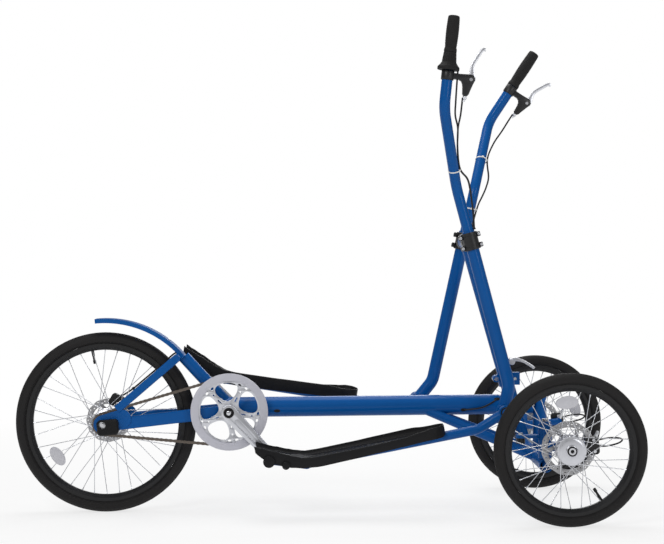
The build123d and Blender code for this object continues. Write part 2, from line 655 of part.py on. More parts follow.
# Platform carriers: the crank pin's sleeve, a tube under the footbed and the eye in front
for name, side in SIDES.items():
    deck = side_plane(*pin_place[name], platform_tilt[name], side * BED_MID)

    def on_deck(forward, up):
        return tuple(deck.from_local_coords((forward, up, 0)))

    with BuildPart() as carrier:
        tube([on_deck(CARRIER_START, -CARRIER_DROP), on_deck(CARRIER_STRAIGHT, -CARRIER_DROP),
              on_deck(PLATFORM_LEN, 0)], CARRIER_D, CARRIER_WALL, CARRIER_BEND)
        with BuildSketch(deck):
            with Locations((0, 0), (CARRIER_START, -CARRIER_DROP)):
                Circle(PIN_SLEEVE_D / 2 - CARRIER_WALL)
            make_hull()
        extrude(amount=CARRIER_D / 2, both=True)
        cross_bar(pin_place[name], side, PIN_SLEEVE_IN, BED_OUT + BED_WALL, PIN_SLEEVE_D)
        cross_bar(eye_place[name], side, EYE_IN, EYE_OUT, EYE_D)
        cross_bar(eye_place[name], side, EYE_IN, EYE_OUT + EYE_BOLT_H, EYE_BOLT_D)
        cross_bar(pin_place[name], side, PIN_SLEEVE_IN, PIN_OUT + BED_WALL, PIN_D + 2 * RUNNING,
                  Mode.SUBTRACT)
    finish(carrier, f"{name}_carrier")

# Footbeds: moulded trays with a floor, a rim all round and skirts over the carrier
for name, side in SIDES.items():
    bed_plane = side_plane(*pin_place[name], platform_tilt[name], side * BED_IN)
    hollow_plane = bed_plane.offset(side * BED_WALL)
    ahead = Axis(bed_plane.origin, bed_plane.x_dir)
    upward = Axis(bed_plane.origin, bed_plane.y_dir)
    with BuildPart() as tray:
        with BuildSketch(hollow_plane):
            with BuildLine():
                Polyline(*TRAY_HOLLOW, close=True)
            make_face()
        extrude(amount=side * (BED_W - 2 * BED_WALL))
        fillet(tray.faces().sort_by(ahead)[-1].edges().filter_by(upward),
               BED_CORNER - BED_WALL)
    with BuildPart() as footbed:
        with BuildSketch(bed_plane):
            with BuildLine():
                Polyline(*BED_OUTLINE, close=True)
            make_face()
        extrude(amount=side * BED_W)
        fillet(footbed.faces().sort_by(ahead)[-1].edges().filter_by(upward), BED_CORNER)
        with BuildSketch(hollow_plane):
            with BuildLine():
                Polyline(*SKIRT_HOLLOW, close=True)
            make_face()
        extrude(amount=side * (BED_W - 2 * BED_WALL), mode=Mode.SUBTRACT)
        add(tray.part, mode=Mode.SUBTRACT)
        with BuildSketch(bed_plane.offset(side * (BED_W - BED_WALL))):
            with BuildLine():
                Polyline(*OUTER_RIM_DIP, close=True)
            make_face()
        extrude(amount=side * BED_WALL, mode=Mode.SUBTRACT)
        cross_bar(pin_place[name], side, BED_IN, BED_OUT, PIN_SLEEVE_D + 2 * SIDE_GAP, Mode.SUBTRACT)
    finish(footbed, f"{name}_footbed")

# Front struts from under the main tube out to the beam
with BuildPart() as front_struts:
    for side in SIDES.values():
        tube([(STRUT_REAR_X, -side * STRUT_REAR_OUT, MAIN_Z - STRUT_REAR_DROP),
              (KINGPIN_X, -side * STRUT_FRONT_OUT, BEAM_Z)], FRONT_STRUT_D, FRONT_STRUT_WALL)
    rod((CRANK_X, 0, MAIN_Z), (MAIN_FRONT_X, 0, MAIN_Z), MAIN_D, Mode.SUBTRACT)
    cross_bar((KINGPIN_X, BEAM_Z), RIGHT, -KINGPIN_OUT, KINGPIN_OUT, BEAM_D, Mode.SUBTRACT)
finish(front_struts, "front_struts")

# Front beam with a kingpin at each end and the post that holds the lean shaft
with BuildPart() as front_beam:
    tube([(KINGPIN_X, -BEAM_END_OUT, BEAM_Z), (KINGPIN_X, BEAM_END_OUT, BEAM_Z)], BEAM_D, BEAM_WALL)
    rod((POST_X, 0, BEAM_Z), (POST_X, 0, POST_TOP), FRONT_POST_D)
    rod((KINGPIN_X, 0, MAIN_Z), (POST_X + FRONT_POST_D, 0, MAIN_Z), LEAN_SHAFT_D, Mode.SUBTRACT)
    for side in SIDES.values():
        kingpin = (KINGPIN_X, -side * KINGPIN_OUT)
        rod((*kingpin, BEAM_Z - BEAM_D / 2 + BEAM_WALL), (*kingpin, KINGPIN_TOP), KINGPIN_D)
        rod((*kingpin, KINGPIN_TOP - CAP_H), (*kingpin, KINGPIN_TOP), CAP_D)
finish(front_beam, "front_beam")

# Steering knuckles on the kingpins, each with its stub axle and steering arm
wheel_spot = (FRONT_AXLE_X, FRONT_TYRE_R)
hub_in = TRACK / 2 - FRONT_HUB_IN
hub_out = TRACK / 2 + FRONT_HUB_OUT
boss_mid = (AXLE_BOSS_IN + hub_in) / 2
arm_bottom = TIE_ROD_Z + TIE_EYE_H / 2 + SIDE_GAP
caliper_turn = radians(FRONT_CALIPER_ANGLE)
caliper_spot = (FRONT_AXLE_X + FRONT_CALIPER_R * cos(caliper_turn),
                FRONT_TYRE_R + FRONT_CALIPER_R * sin(caliper_turn))
for name, side in SIDES.items():
    kingpin = (KINGPIN_X, -side * KINGPIN_OUT)
    sleeve = ((*kingpin, BEAM_TOP + SIDE_GAP), (*kingpin, KINGPIN_TOP - CAP_H - SIDE_GAP))
    with BuildPart() as knuckle:
        rod(*sleeve, SLEEVE_D)
        rod((*kingpin, FRONT_TYRE_R), (FRONT_AXLE_X, -side * boss_mid, FRONT_TYRE_R),
            KNUCKLE_ARM_D)
        cross_bar(wheel_spot, side, AXLE_BOSS_IN, hub_in - SIDE_GAP, AXLE_BOSS_D)
        cross_bar(wheel_spot, side, AXLE_BOSS_IN, STUB_END, STUB_D)
        cross_bar(wheel_spot, side, hub_out + SIDE_GAP, hub_out + SIDE_GAP + STUB_NUT_W, STUB_NUT_D)
        with BuildSketch(Plane(origin=(*kingpin, arm_bottom))):
            with Locations((0, 0), (-STEERING_ARM, 0)):
                Circle(STEERING_ARM_W / 2)
            make_hull()
        extrude(amount=STEERING_ARM_T)
        cross_bar(caliper_spot, side, boss_mid, FRONT_DISC_OUT - FRONT_CALIPER_INNER, CALIPER_TAB_D)
        rod((FRONT_AXLE_X, -side * boss_mid, FRONT_TYRE_R),
            (caliper_spot[0], -side * boss_mid, caliper_spot[1]), CALIPER_TAB_D)
        rod((*kingpin, BEAM_Z), (*kingpin, KINGPIN_TOP - CAP_H - SIDE_GAP), KINGPIN_D + 2 * RUNNING,
            Mode.SUBTRACT)
        with BuildSketch(Plane(origin=(*kingpin, KINGPIN_TOP - CAP_H - SIDE_GAP))):
            Circle(SLEEVE_D)
        extrude(amount=CAP_H + SIDE_GAP, mode=Mode.SUBTRACT)
    finish(knuckle, f"{name}_knuckle")
    with BuildPart() as front_caliper:
        add_caliper(wheel_spot, FRONT_CALIPER_ANGLE, FRONT_CALIPER_R, FRONT_DISC_OUT, side,
                    FRONT_DISC_OUT - FRONT_CALIPER_INNER, FRONT_DISC_OUT + FRONT_CALIPER_OUTER)
    finish(front_caliper, f"{name}_front_caliper")

# Tie rod between the two steering arms
with BuildPart() as tie_rod:
    rod((TIE_ROD_X, KINGPIN_OUT, TIE_ROD_Z), (TIE_ROD_X, -KINGPIN_OUT, TIE_ROD_Z), TIE_ROD_D)
    for side in SIDES.values():
        eye = (TIE_ROD_X, -side * KINGPIN_OUT, TIE_ROD_Z - TIE_EYE_H / 2)
        rod(eye, (eye[0], eye[1], TIE_ROD_Z + TIE_EYE_H / 2), TIE_EYE_D)
finish(tie_rod, "tie_rod")

# Mast: a sloping column with the lean collar low down and the levers' pivot on top
mast_slope = (MAST_AT_COLLAR_X - PIVOT_X) / (PIVOT_Z - MAIN_Z)


def on_mast(height):
    return (PIVOT_X + (PIVOT_Z - height) * mast_slope, 0, height)


with BuildPart() as mast:
    tube([on_mast(MAST_FOOT_Z), on_mast(PIVOT_Z)], MAST_D, MAST_WALL)
    cross_bar(PIVOT_PLACE, RIGHT, -PIVOT_TUBE_HALF, PIVOT_TUBE_HALF, PIVOT_TUBE_D)
    cross_bar(PIVOT_PLACE, RIGHT, -PIVOT_AXLE_OUT, PIVOT_AXLE_OUT, PIVOT_AXLE_D)
    rod(on_mast(TIE_ROD_Z), (TIE_ROD_X + TIE_ROD_D / 2 + SIDE_GAP, 0, TIE_ROD_Z), MAST_PIN_D)
    rod((COLLAR_REAR_X, 0, MAIN_Z), (COLLAR_FRONT_X, 0, MAIN_Z), COLLAR_D)
    rod((COLLAR_REAR_X, 0, MAIN_Z), (COLLAR_FRONT_X, 0, MAIN_Z), LEAN_SHAFT_D + 2 * RUNNING, Mode.SUBTRACT)
finish(mast, "mast")

# Folding hinge of the mast and the quick release above it
with BuildPart() as mast_hinge:
    rod(on_mast(HINGE_Z - HINGE_H / 2), on_mast(HINGE_Z + HINGE_H / 2), HINGE_D)
    hinge_x = on_mast(HINGE_Z)[0]
    with Locations((hinge_x + HINGE_D / 2, 0, HINGE_Z)):
        Box(HINGE_LUG, HINGE_D / 2, HINGE_H)
    hinge_pin = (hinge_x - HINGE_D / 2 - HINGE_PIN_D / 4, HINGE_Z)
    cross_bar(hinge_pin, RIGHT, -HINGE_H / 2, HINGE_H / 2, HINGE_PIN_D)
    rod(on_mast(HINGE_Z - HINGE_H), on_mast(HINGE_Z + HINGE_H), MAST_D, Mode.SUBTRACT)
finish(mast_hinge, "mast_hinge")

with BuildPart() as quick_release:
    boss_x = on_mast(RELEASE_Z)[0] + MAST_D / 2 + RELEASE_D / 2
    cross_bar((boss_x, RELEASE_Z), RIGHT, -RELEASE_D, RELEASE_D, RELEASE_D)
    with BuildSketch(side_plane(boss_x, RELEASE_Z, out=RELEASE_D)):
        Circle(RELEASE_D / 2)
        with Locations((RELEASE_REACH, -RELEASE_FALL)):
            Circle(RELEASE_D / 3)
        make_hull()
    extrude(amount=RELEASE_D / 3)
    rod(on_mast(RELEASE_Z - MAST_D), on_mast(RELEASE_Z + MAST_D), MAST_D, Mode.SUBTRACT)
finish(quick_release, "quick_release")

# Levers: a lower tube, an upper bar telescoped into it, the pivot clamp and the grip
grip_run = hypot(GRIP_TOP[0] - GRIP_FOOT[0], GRIP_TOP[1] - GRIP_FOOT[1])
grip_along = ((GRIP_TOP[0] - GRIP_FOOT[0]) / grip_run, (GRIP_TOP[1] - GRIP_FOOT[1]) / grip_run)
grip_tilt = degrees(atan2(grip_along[1], grip_along[0])) - 90


def below_grip_top(name, distance, ahead=0.0):
    """A point of the grip's line, or a distance ahead of it, in the whole object."""
    return on_lever(name, GRIP_TOP[0] - distance * grip_along[0] + ahead * grip_along[1],
                    GRIP_TOP[1] - distance * grip_along[1] - ahead * grip_along[0], GRIP_OUT)


for name, side in SIDES.items():
    grip_len = GRIP_LEN if name == "right" else LEFT_GRIP_LEN
    thin_len = grip_len + PERCH_LEN
    with BuildPart() as lever_tube:
        tube([on_lever(name, 0, LEVER_TOP, LEVER_OUT), on_lever(name, 0, -LEVER_STRAIGHT, LEVER_OUT),
              on_lever(name, -LEVER_KICK, -LEVER_DROP, LEVER_OUT)], LEVER_D, LEVER_WALL, LEVER_BEND)
        cross_bar(eye_place[name], side, LEVER_OUT - LEVER_D / 2 - SIDE_GAP, LEVER_END_OUT, LEVER_BOSS_D)
    finish(lever_tube, f"{name}_lever_tube")

    with BuildPart() as upper_bar:
        tube([on_lever(name, 0, -BAR_LAP, LEVER_OUT), on_lever(name, 0, BAR_RISE, LEVER_OUT),
              on_lever(name, *GRIP_FOOT, GRIP_OUT), below_grip_top(name, thin_len)],
             BAR_D, BAR_WALL, BAR_BEND)
        rod(below_grip_top(name, thin_len + BAR_D / 2), below_grip_top(name, thin_len), BAR_D)
        tube([below_grip_top(name, thin_len), below_grip_top(name, BAR_WALL)], GRIP_BAR_D, BAR_WALL)
    finish(upper_bar, f"{name}_upper_bar")

    with BuildPart() as clamp:
        rod(on_lever(name, 0, -CLAMP_HALF, LEVER_OUT), on_lever(name, 0, CLAMP_HALF, LEVER_OUT), CLAMP_D)
        cross_bar(PIVOT_PLACE, side, PIVOT_TUBE_HALF + 2 * SIDE_GAP, LEVER_OUT, PIVOT_BOSS_D)
        rod(on_lever(name, 0, -CLAMP_HALF, LEVER_OUT), on_lever(name, 0, CLAMP_HALF, LEVER_OUT), LEVER_D,
            Mode.SUBTRACT)
        cross_bar(PIVOT_PLACE, side, PIVOT_TUBE_HALF, PIVOT_AXLE_OUT + 2 * SIDE_GAP,
                  PIVOT_AXLE_D + 2 * RUNNING, Mode.SUBTRACT)
    finish(clamp, f"{name}_clamp")

    grip_start = grip_len - SHIFTER_LEN if name == "right" else grip_len
    with BuildPart() as grip:
        rod(below_grip_top(name, grip_start), below_grip_top(name, 0), GRIP_D)
        rod(below_grip_top(name, grip_start), below_grip_top(name, BAR_WALL), GRIP_BAR_D, Mode.SUBTRACT)
    finish(grip, f"{name}_grip")

    with BuildPart() as perch:
        rod(below_grip_top(name, thin_len), below_grip_top(name, grip_len + 2 * SIDE_GAP), PERCH_D)
        perch_mid = below_grip_top(name, grip_len + PERCH_LEN / 2)
        perch_end = below_grip_top(name, grip_len + PERCH_LEN / 2, PERCH_REACH)
        perch_low = below_grip_top(name, grip_len + PERCH_LEN / 2 + PERCH_HANG,
                                   PERCH_REACH - PERCH_BODY_D / 2)
        rod(perch_mid, perch_end, PERCH_BODY_D)
        rod(perch_end, perch_low, PERCH_BODY_D)
        rod(below_grip_top(name, thin_len), below_grip_top(name, grip_len), GRIP_BAR_D, Mode.SUBTRACT)
    finish(perch, f"{name}_brake_perch")

    blade_plane = side_plane(perch_mid[0], perch_mid[2], lever_tilt[name] + grip_tilt,
                             side * (GRIP_OUT - BLADE_T / 2))
    blade_foot = PERCH_REACH + PERCH_BODY_D / 2 + BLADE_W / 2
    blade_steps = [(blade_foot, 0), (blade_foot, BLADE_KINK), (BLADE_REACH, BLADE_RISE)]
    with BuildPart() as blade:
        for start, end in zip(blade_steps, blade_steps[1:]):
            with BuildSketch(blade_plane):
                with Locations(start, end):
                    Circle(BLADE_W / 2)
                make_hull()
            extrude(amount=side * BLADE_T)
    finish(blade, f"{name}_brake_blade")

# Twist shifter under the right grip
with BuildPart() as shifter:
    shifter_foot = below_grip_top("right", GRIP_LEN)
    rod(shifter_foot, below_grip_top("right", GRIP_LEN - SHIFTER_LEN + SIDE_GAP), GRIP_D)
    rod(shifter_foot, below_grip_top("right", GRIP_LEN - SHIFTER_FLANGE_T), SHIFTER_FLANGE_D)
    rod(shifter_foot, below_grip_top("right", 0), GRIP_BAR_D, Mode.SUBTRACT)
finish(shifter, "twist_shifter")
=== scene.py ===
import json
import math

import bmesh
import bpy
from mathutils import Matrix, Vector


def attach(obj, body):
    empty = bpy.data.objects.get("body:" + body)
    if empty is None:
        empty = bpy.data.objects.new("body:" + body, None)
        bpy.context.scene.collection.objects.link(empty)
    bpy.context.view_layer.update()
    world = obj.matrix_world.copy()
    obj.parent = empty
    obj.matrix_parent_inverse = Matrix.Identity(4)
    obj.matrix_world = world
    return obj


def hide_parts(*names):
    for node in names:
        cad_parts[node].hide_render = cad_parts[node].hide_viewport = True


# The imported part: every solid of the tricycle, already in its place, in metres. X
# points forward, Y to the rider's left and Z up.
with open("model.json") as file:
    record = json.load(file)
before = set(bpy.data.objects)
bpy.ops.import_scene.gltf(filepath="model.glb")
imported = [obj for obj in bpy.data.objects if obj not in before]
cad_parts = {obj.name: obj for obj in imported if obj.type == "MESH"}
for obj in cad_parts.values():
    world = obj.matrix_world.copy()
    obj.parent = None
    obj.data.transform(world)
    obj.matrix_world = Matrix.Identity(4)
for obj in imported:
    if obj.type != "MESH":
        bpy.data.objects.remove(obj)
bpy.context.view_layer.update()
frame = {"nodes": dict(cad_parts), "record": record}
nodes = frame["nodes"]


# Finishes: each one varies a little over the surface, as real paint, rubber and metal do.
# The group mixes two near colours by a soft noise and gives roughness and a fine relief.
GRAIN_DEPTH = 0.0004
surface = bpy.data.node_groups.new("surface_variation", "ShaderNodeTree")
for socket, kind, value in (("Color", "NodeSocketColor", (0.5, 0.5, 0.5, 1)),
                            ("Tint", "NodeSocketColor", (0.5, 0.5, 0.5, 1)),
                            ("Scale", "NodeSocketFloat", 20), ("Grain", "NodeSocketFloat", 900),
                            ("Low", "NodeSocketFloat", 0.3), ("High", "NodeSocketFloat", 0.5)):
    surface.interface.new_socket(socket, in_out="INPUT", socket_type=kind).default_value = value
for socket, kind in (("Color", "NodeSocketColor"), ("Roughness", "NodeSocketFloat"), ("Height", "NodeSocketFloat")):
    surface.interface.new_socket(socket, in_out="OUTPUT", socket_type=kind)
group_in = surface.nodes.new("NodeGroupInput")
group_out = surface.nodes.new("NodeGroupOutput")
place = surface.nodes.new("ShaderNodeTexCoord")
cloud = surface.nodes.new("ShaderNodeTexNoise")
cloud.inputs["Detail"].default_value = 4
grain = surface.nodes.new("ShaderNodeTexNoise")
grain.inputs["Detail"].default_value = 2
blend = surface.nodes.new("ShaderNodeMix")
blend.data_type = "RGBA"
gloss = surface.nodes.new("ShaderNodeMapRange")
for source, target in ((place.outputs["Object"], cloud.inputs["Vector"]),
                       (place.outputs["Object"], grain.inputs["Vector"]),
                       (group_in.outputs["Scale"], cloud.inputs["Scale"]),
                       (group_in.outputs["Grain"], grain.inputs["Scale"]),
                       (cloud.outputs["Fac"], blend.inputs["Factor"]),
                       (group_in.outputs["Color"], blend.inputs["A"]), (group_in.outputs["Tint"], blend.inputs["B"]),
                       (cloud.outputs["Fac"], gloss.inputs["Value"]),
                       (group_in.outputs["Low"], gloss.inputs["To Min"]),
                       (group_in.outputs["High"], gloss.inputs["To Max"]),
                       (blend.outputs["Result"], group_out.inputs["Color"]),
                       (gloss.outputs["Result"], group_out.inputs["Roughness"]),
                       (grain.outputs["Fac"], group_out.inputs["Height"])):
    surface.links.new(source, target)


def finish_of(name, color, tint, rough, scale=20, grain_scale=900, relief=0.0, **sockets):
    """A material of the surface group: two near colours, a roughness range and a fine relief."""
    material = bpy.data.materials.new(name)
    material.use_nodes = True
    tree = material.node_tree
    shader = tree.nodes["Principled BSDF"]
    coat = tree.nodes.new("ShaderNodeGroup")
    coat.node_tree = surface
    for socket, value in (("Color", (*color, 1)), ("Tint", (*tint, 1)), ("Scale", scale), ("Grain", grain_scale),
                          ("Low", rough[0]), ("High", rough[1])):
        coat.inputs[socket].default_value = value
    tree.links.new(coat.outputs["Color"], shader.inputs["Base Color"])
    tree.links.new(coat.outputs["Roughness"], shader.inputs["Roughness"])
    if relief:
        bump = tree.nodes.new("ShaderNodeBump")
        bump.inputs["Strength"].default_value = relief
        bump.inputs["Distance"].default_value = GRAIN_DEPTH
        tree.links.new(coat.outputs["Height"], bump.inputs["Height"])
        tree.links.new(bump.outputs["Normal"], shader.inputs["Normal"])
    for socket, value in sockets.items():
        shader.inputs[socket.replace("_", " ")].default_value = value
    return material


blue_paint = finish_of("blue_paint", (0.0015, 0.080, 0.30), (0.0020, 0.092, 0.34), (0.28, 0.38), 9, 1400, 0.03,
                       Coat_Weight=0.12, Coat_Roughness=0.1, Specular_IOR_Level=0.1)
tyre_rubber = finish_of("tyre_rubber", (0.010, 0.0095, 0.010), (0.017, 0.016, 0.016), (0.55, 0.75), 30, 1600, 0.25,
                        Specular_IOR_Level=0.22)
rim_black = finish_of("rim_black", (0.008, 0.008, 0.009), (0.012, 0.012, 0.013), (0.3, 0.42), 25, 1500, 0.05,
                      Specular_IOR_Level=0.35)
bright_steel = finish_of("bright_steel", (0.66, 0.67, 0.7), (0.56, 0.57, 0.6), (0.2, 0.34), 60, 2000, 0.04, Metallic=1)
silver_alloy = finish_of("silver_alloy", (0.66, 0.67, 0.71), (0.58, 0.59, 0.63), (0.26, 0.42), 40, 1800, 0.05,
                         Metallic=1)
black_plastic = finish_of("black_plastic", (0.006, 0.006, 0.007), (0.011, 0.011, 0.012), (0.36, 0.5), 35, 1300, 0.3,
                          Specular_IOR_Level=0.17)
black_metal = finish_of("black_metal", (0.009, 0.009, 0.010), (0.016, 0.016, 0.017), (0.3, 0.46), 45, 1700, 0.08,
                        Specular_IOR_Level=0.35)
grip_rubber = finish_of("grip_rubber", (0.010, 0.010, 0.010), (0.017, 0.016, 0.016), (0.6, 0.8), 50, 1000, 0.4,
                        Specular_IOR_Level=0.25)
chain_steel = finish_of("chain_steel", (0.11, 0.092, 0.078), (0.18, 0.155, 0.135), (0.3, 0.5), 120, 2500, 0.1,
                        Metallic=1)
node_finish = {"blue_paint": blue_paint, "tyre": tyre_rubber, "black_alloy": rim_black, "bright_steel": bright_steel,
               "silver_alloy": silver_alloy, "black_plastic": black_plastic, "black_metal": black_metal,
               "black_rubber": grip_rubber, "chain_steel": chain_steel}
for entry in frame["record"]["subparts"]:
    mesh = nodes[entry["node"]].data
    mesh.materials.clear()
    mesh.materials.append(node_finish[entry["material_slot"]])


# Tyres: black road tyres with a round crown cut by fine grooves and a raised line over the rim.
# The rubber is moulded in one piece, with a row of small blocks round each shoulder.
RIGHT, LEFT = -1, 1
SIDES = {"right": RIGHT, "left": LEFT}
REAR_AXLE = Vector((-0.58825, 0, 0.247))
FRONT_AXLE = Vector((0.63775, 0, 0.1975))
TRACK_HALF = 0.325
WHEEL_AXLES = {"rear": REAR_AXLE}
WHEEL_AXLES.update({f"{name}_front": FRONT_AXLE + Vector((0, side * TRACK_HALF, 0)) for name, side in SIDES.items()})


def add_piece(name, builder, material, body, replaced=()):
    """Turn a finished bmesh into a piece of the scene that rides on a body."""
    bmesh.ops.recalc_face_normals(builder, faces=builder.faces)
    mesh = bpy.data.meshes.new(name)
    builder.to_mesh(mesh)
    builder.free()
    mesh.shade_smooth()
    mesh.set_sharp_from_angle(angle=math.radians(38))
    mesh.materials.append(material)
    piece = bpy.data.objects.new(name, mesh)
    bpy.context.collection.objects.link(piece)
    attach(piece, body)
    if replaced:
        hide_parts(*replaced)


def lathe(builder, profile, lie, steps=48, closed=False):
    """Turn a profile of (radius, height) points about the z axis of a matrix."""
    points = [builder.verts.new((radius, 0, height)) for radius, height in profile]
    runs = [builder.edges.new(pair) for pair in zip(points, points[1:])]
    if closed:
        runs.append(builder.edges.new((points[-1], points[0])))
    older = set(builder.verts) - set(points)
    bmesh.ops.spin(builder, geom=points + runs, cent=(0, 0, 0), axis=(0, 0, 1), angle=math.tau, steps=steps,
                   use_merge=True)
    bmesh.ops.transform(builder, matrix=lie, verts=[vert for vert in builder.verts if vert not in older])


def spun(builder, profile, centre, steps=64, closed=False, side=LEFT):
    """Turn a profile of (radius, across) points about an axle along Y, measured towards one side."""
    lie = Matrix.Translation(centre) @ Matrix.Rotation(-math.pi / 2, 4, "X")
    lathe(builder, [(radius, side * across) for radius, across in profile], lie, steps, closed)


def tread_rubber(name, centre, radius):
    """Tyre rubber with a row of blocks cut into the shoulders, counted round the axle."""
    blocks, block_slant, cut_above, shoulder_depth = 150, 9.0, 0.55, 0.0085
    material = tyre_rubber.copy()
    material.name = name
    tree = material.node_tree
    spot = tree.nodes.new("ShaderNodeTexCoord")
    from_axle = tree.nodes.new("ShaderNodeMapping")
    from_axle.inputs["Location"].default_value = (-centre[0], -centre[1], -centre[2])
    parts = tree.nodes.new("ShaderNodeSeparateXYZ")
    tree.links.new(spot.outputs["Object"], from_axle.inputs["Vector"])
    tree.links.new(from_axle.outputs["Vector"], parts.inputs["Vector"])

    def math_node(operation, first, second=None):
        node = tree.nodes.new("ShaderNodeMath")
        node.operation = operation
        for socket, value in zip(node.inputs, (first, second)):
            if isinstance(value, (int, float)):
                socket.default_value = value
            elif value is not None:
                tree.links.new(value, socket)
        return node.outputs[0]

    turn = math_node("ARCTAN2", parts.outputs["Z"], parts.outputs["X"])
    slant = math_node("MULTIPLY", math_node("ABSOLUTE", parts.outputs["Y"]), block_slant)
    wave = math_node("SINE", math_node("MULTIPLY", math_node("ADD", turn, slant), blocks))
    cut = math_node("GREATER_THAN", wave, cut_above)
    reach = math_node("SQRT", math_node("ADD", math_node("POWER", parts.outputs["X"], 2),
                                        math_node("POWER", parts.outputs["Z"], 2)))
    shoulder = math_node("GREATER_THAN", reach, radius - shoulder_depth)
    groove = math_node("MULTIPLY", cut, shoulder)
    bump = tree.nodes["Bump"]
    fine = bump.inputs["Height"].links[0].from_socket
    height = math_node("SUBTRACT", math_node("MULTIPLY", fine, 0.3), math_node("MULTIPLY", groove, 1.6))
    tree.links.new(height, bump.inputs["Height"])
    bump.inputs["Strength"].default_value = 0.6
    bump.inputs["Distance"].default_value = 0.0008
    return material


TYRE_SIZES = {"rear": (0.247, 0.217, 0.023), "front": (0.1975, 0.169, 0.021)}
RIM_HALF, BEAD_CLEAR, CROWN_STEPS = 0.0135, 0.0004, 50
GROOVE_TURNS, GROOVE_HALF, GROOVE_DEPTH = (9, 22, 36), 1.4, 0.0011
LINE_START, LINE_END, LINE_RISE = 104, 109, 0.0006
for wheel, axle in WHEEL_AXLES.items():
    radius, bead, half = TYRE_SIZES["rear" if wheel == "rear" else "front"]
    middle = (radius + bead) / 2 - (radius - bead) / 8
    rise = radius - middle
    last = math.degrees(math.acos((bead - middle) / rise))
    bead_shift = RIM_HALF - BEAD_CLEAR - half * math.sin(math.radians(last))
    half_profile = []
    for step in range(CROWN_STEPS + 1):
        turn = last * step / CROWN_STEPS
        around, across = middle + rise * math.cos(math.radians(turn)), half * math.sin(math.radians(turn))
        if any(abs(turn - groove) < GROOVE_HALF for groove in GROOVE_TURNS):
            around -= GROOVE_DEPTH
        if LINE_START < turn < LINE_END:
            across += LINE_RISE
        if turn > LINE_END:
            across += bead_shift * (turn - LINE_END) / (last - LINE_END)
        half_profile.append((around, across))
    profile = [(around, -across) for around, across in half_profile[:0:-1]] + half_profile
    rubber = bmesh.new()
    spun(rubber, profile, axle, 120, closed=True)
    add_piece(f"{wheel}_tyre_rubber", rubber, tread_rubber(f"{wheel}_tread", axle, radius), f"{wheel}_wheel",
              (f"{wheel}_tyre",))


# Spoke nipples, valves and reflectors: the small fittings of each wheel.
# Plated nipples sit where the spokes enter the rim; the reflectors are clear plastic, clipped to the spokes.
SPOKES, SWEEP, SPOKE_D, SPOKE_CROSS, RIM_OFFSET = 36, math.radians(40), 0.002, 0.0027, 0.00225
SPOKE_ENDS = {"rear": (0.199, 0.036, 0.027), "front": (0.151, 0.038, 0.020)}
VALVES = {"rear": 100, "right_front": -59, "left_front": -79}
VALVE_STEPS = ((0.000, 0.016, 0.0042), (0.015, 0.012, 0.0034), (0.026, 0.010, 0.0044))
REFLECTORS = {"rear": (214.5, 0.160), "right_front": (95, 0.124), "left_front": (20, 0.124)}
REFLECTOR_HALVES, REFLECTOR_OUT, REFLECTOR_DEPTH = (0.0165, 0.029), -0.011, 0.007
reflector_lens = finish_of("reflector_lens", (0.48, 0.48, 0.52), (0.60, 0.60, 0.64), (0.16, 0.26), 160, 420, 0.9,
                           Coat_Weight=0.5, Coat_Roughness=0.05)


def round_axle(centre, reach, turn, across=0.0):
    """A place so far from an axle, at an angle above straight ahead, and so far to the left."""
    return centre + Vector((reach * math.cos(turn), across, reach * math.sin(turn)))


def stud(builder, lie, sides, radius, length, tip=None):
    """Add a capped stud along the z axis of a matrix, with another radius at its tip if asked."""
    return bmesh.ops.create_cone(builder, cap_ends=True, segments=sides, radius1=radius,
                                 radius2=radius if tip is None else tip, depth=length, matrix=lie)["verts"]


def edges_of(verts):
    """The edges that meet some vertices, each once."""
    return {edge for vert in verts for edge in vert.link_edges}


def ease(builder, edges, width, steps):
    """Round the sharp ones among some edges."""
    bmesh.ops.bevel(builder, geom=[edge for edge in edges if edge.calc_face_angle(0) > 1], offset=width,
                    segments=steps, profile=0.5, affect="EDGES", material=-1)


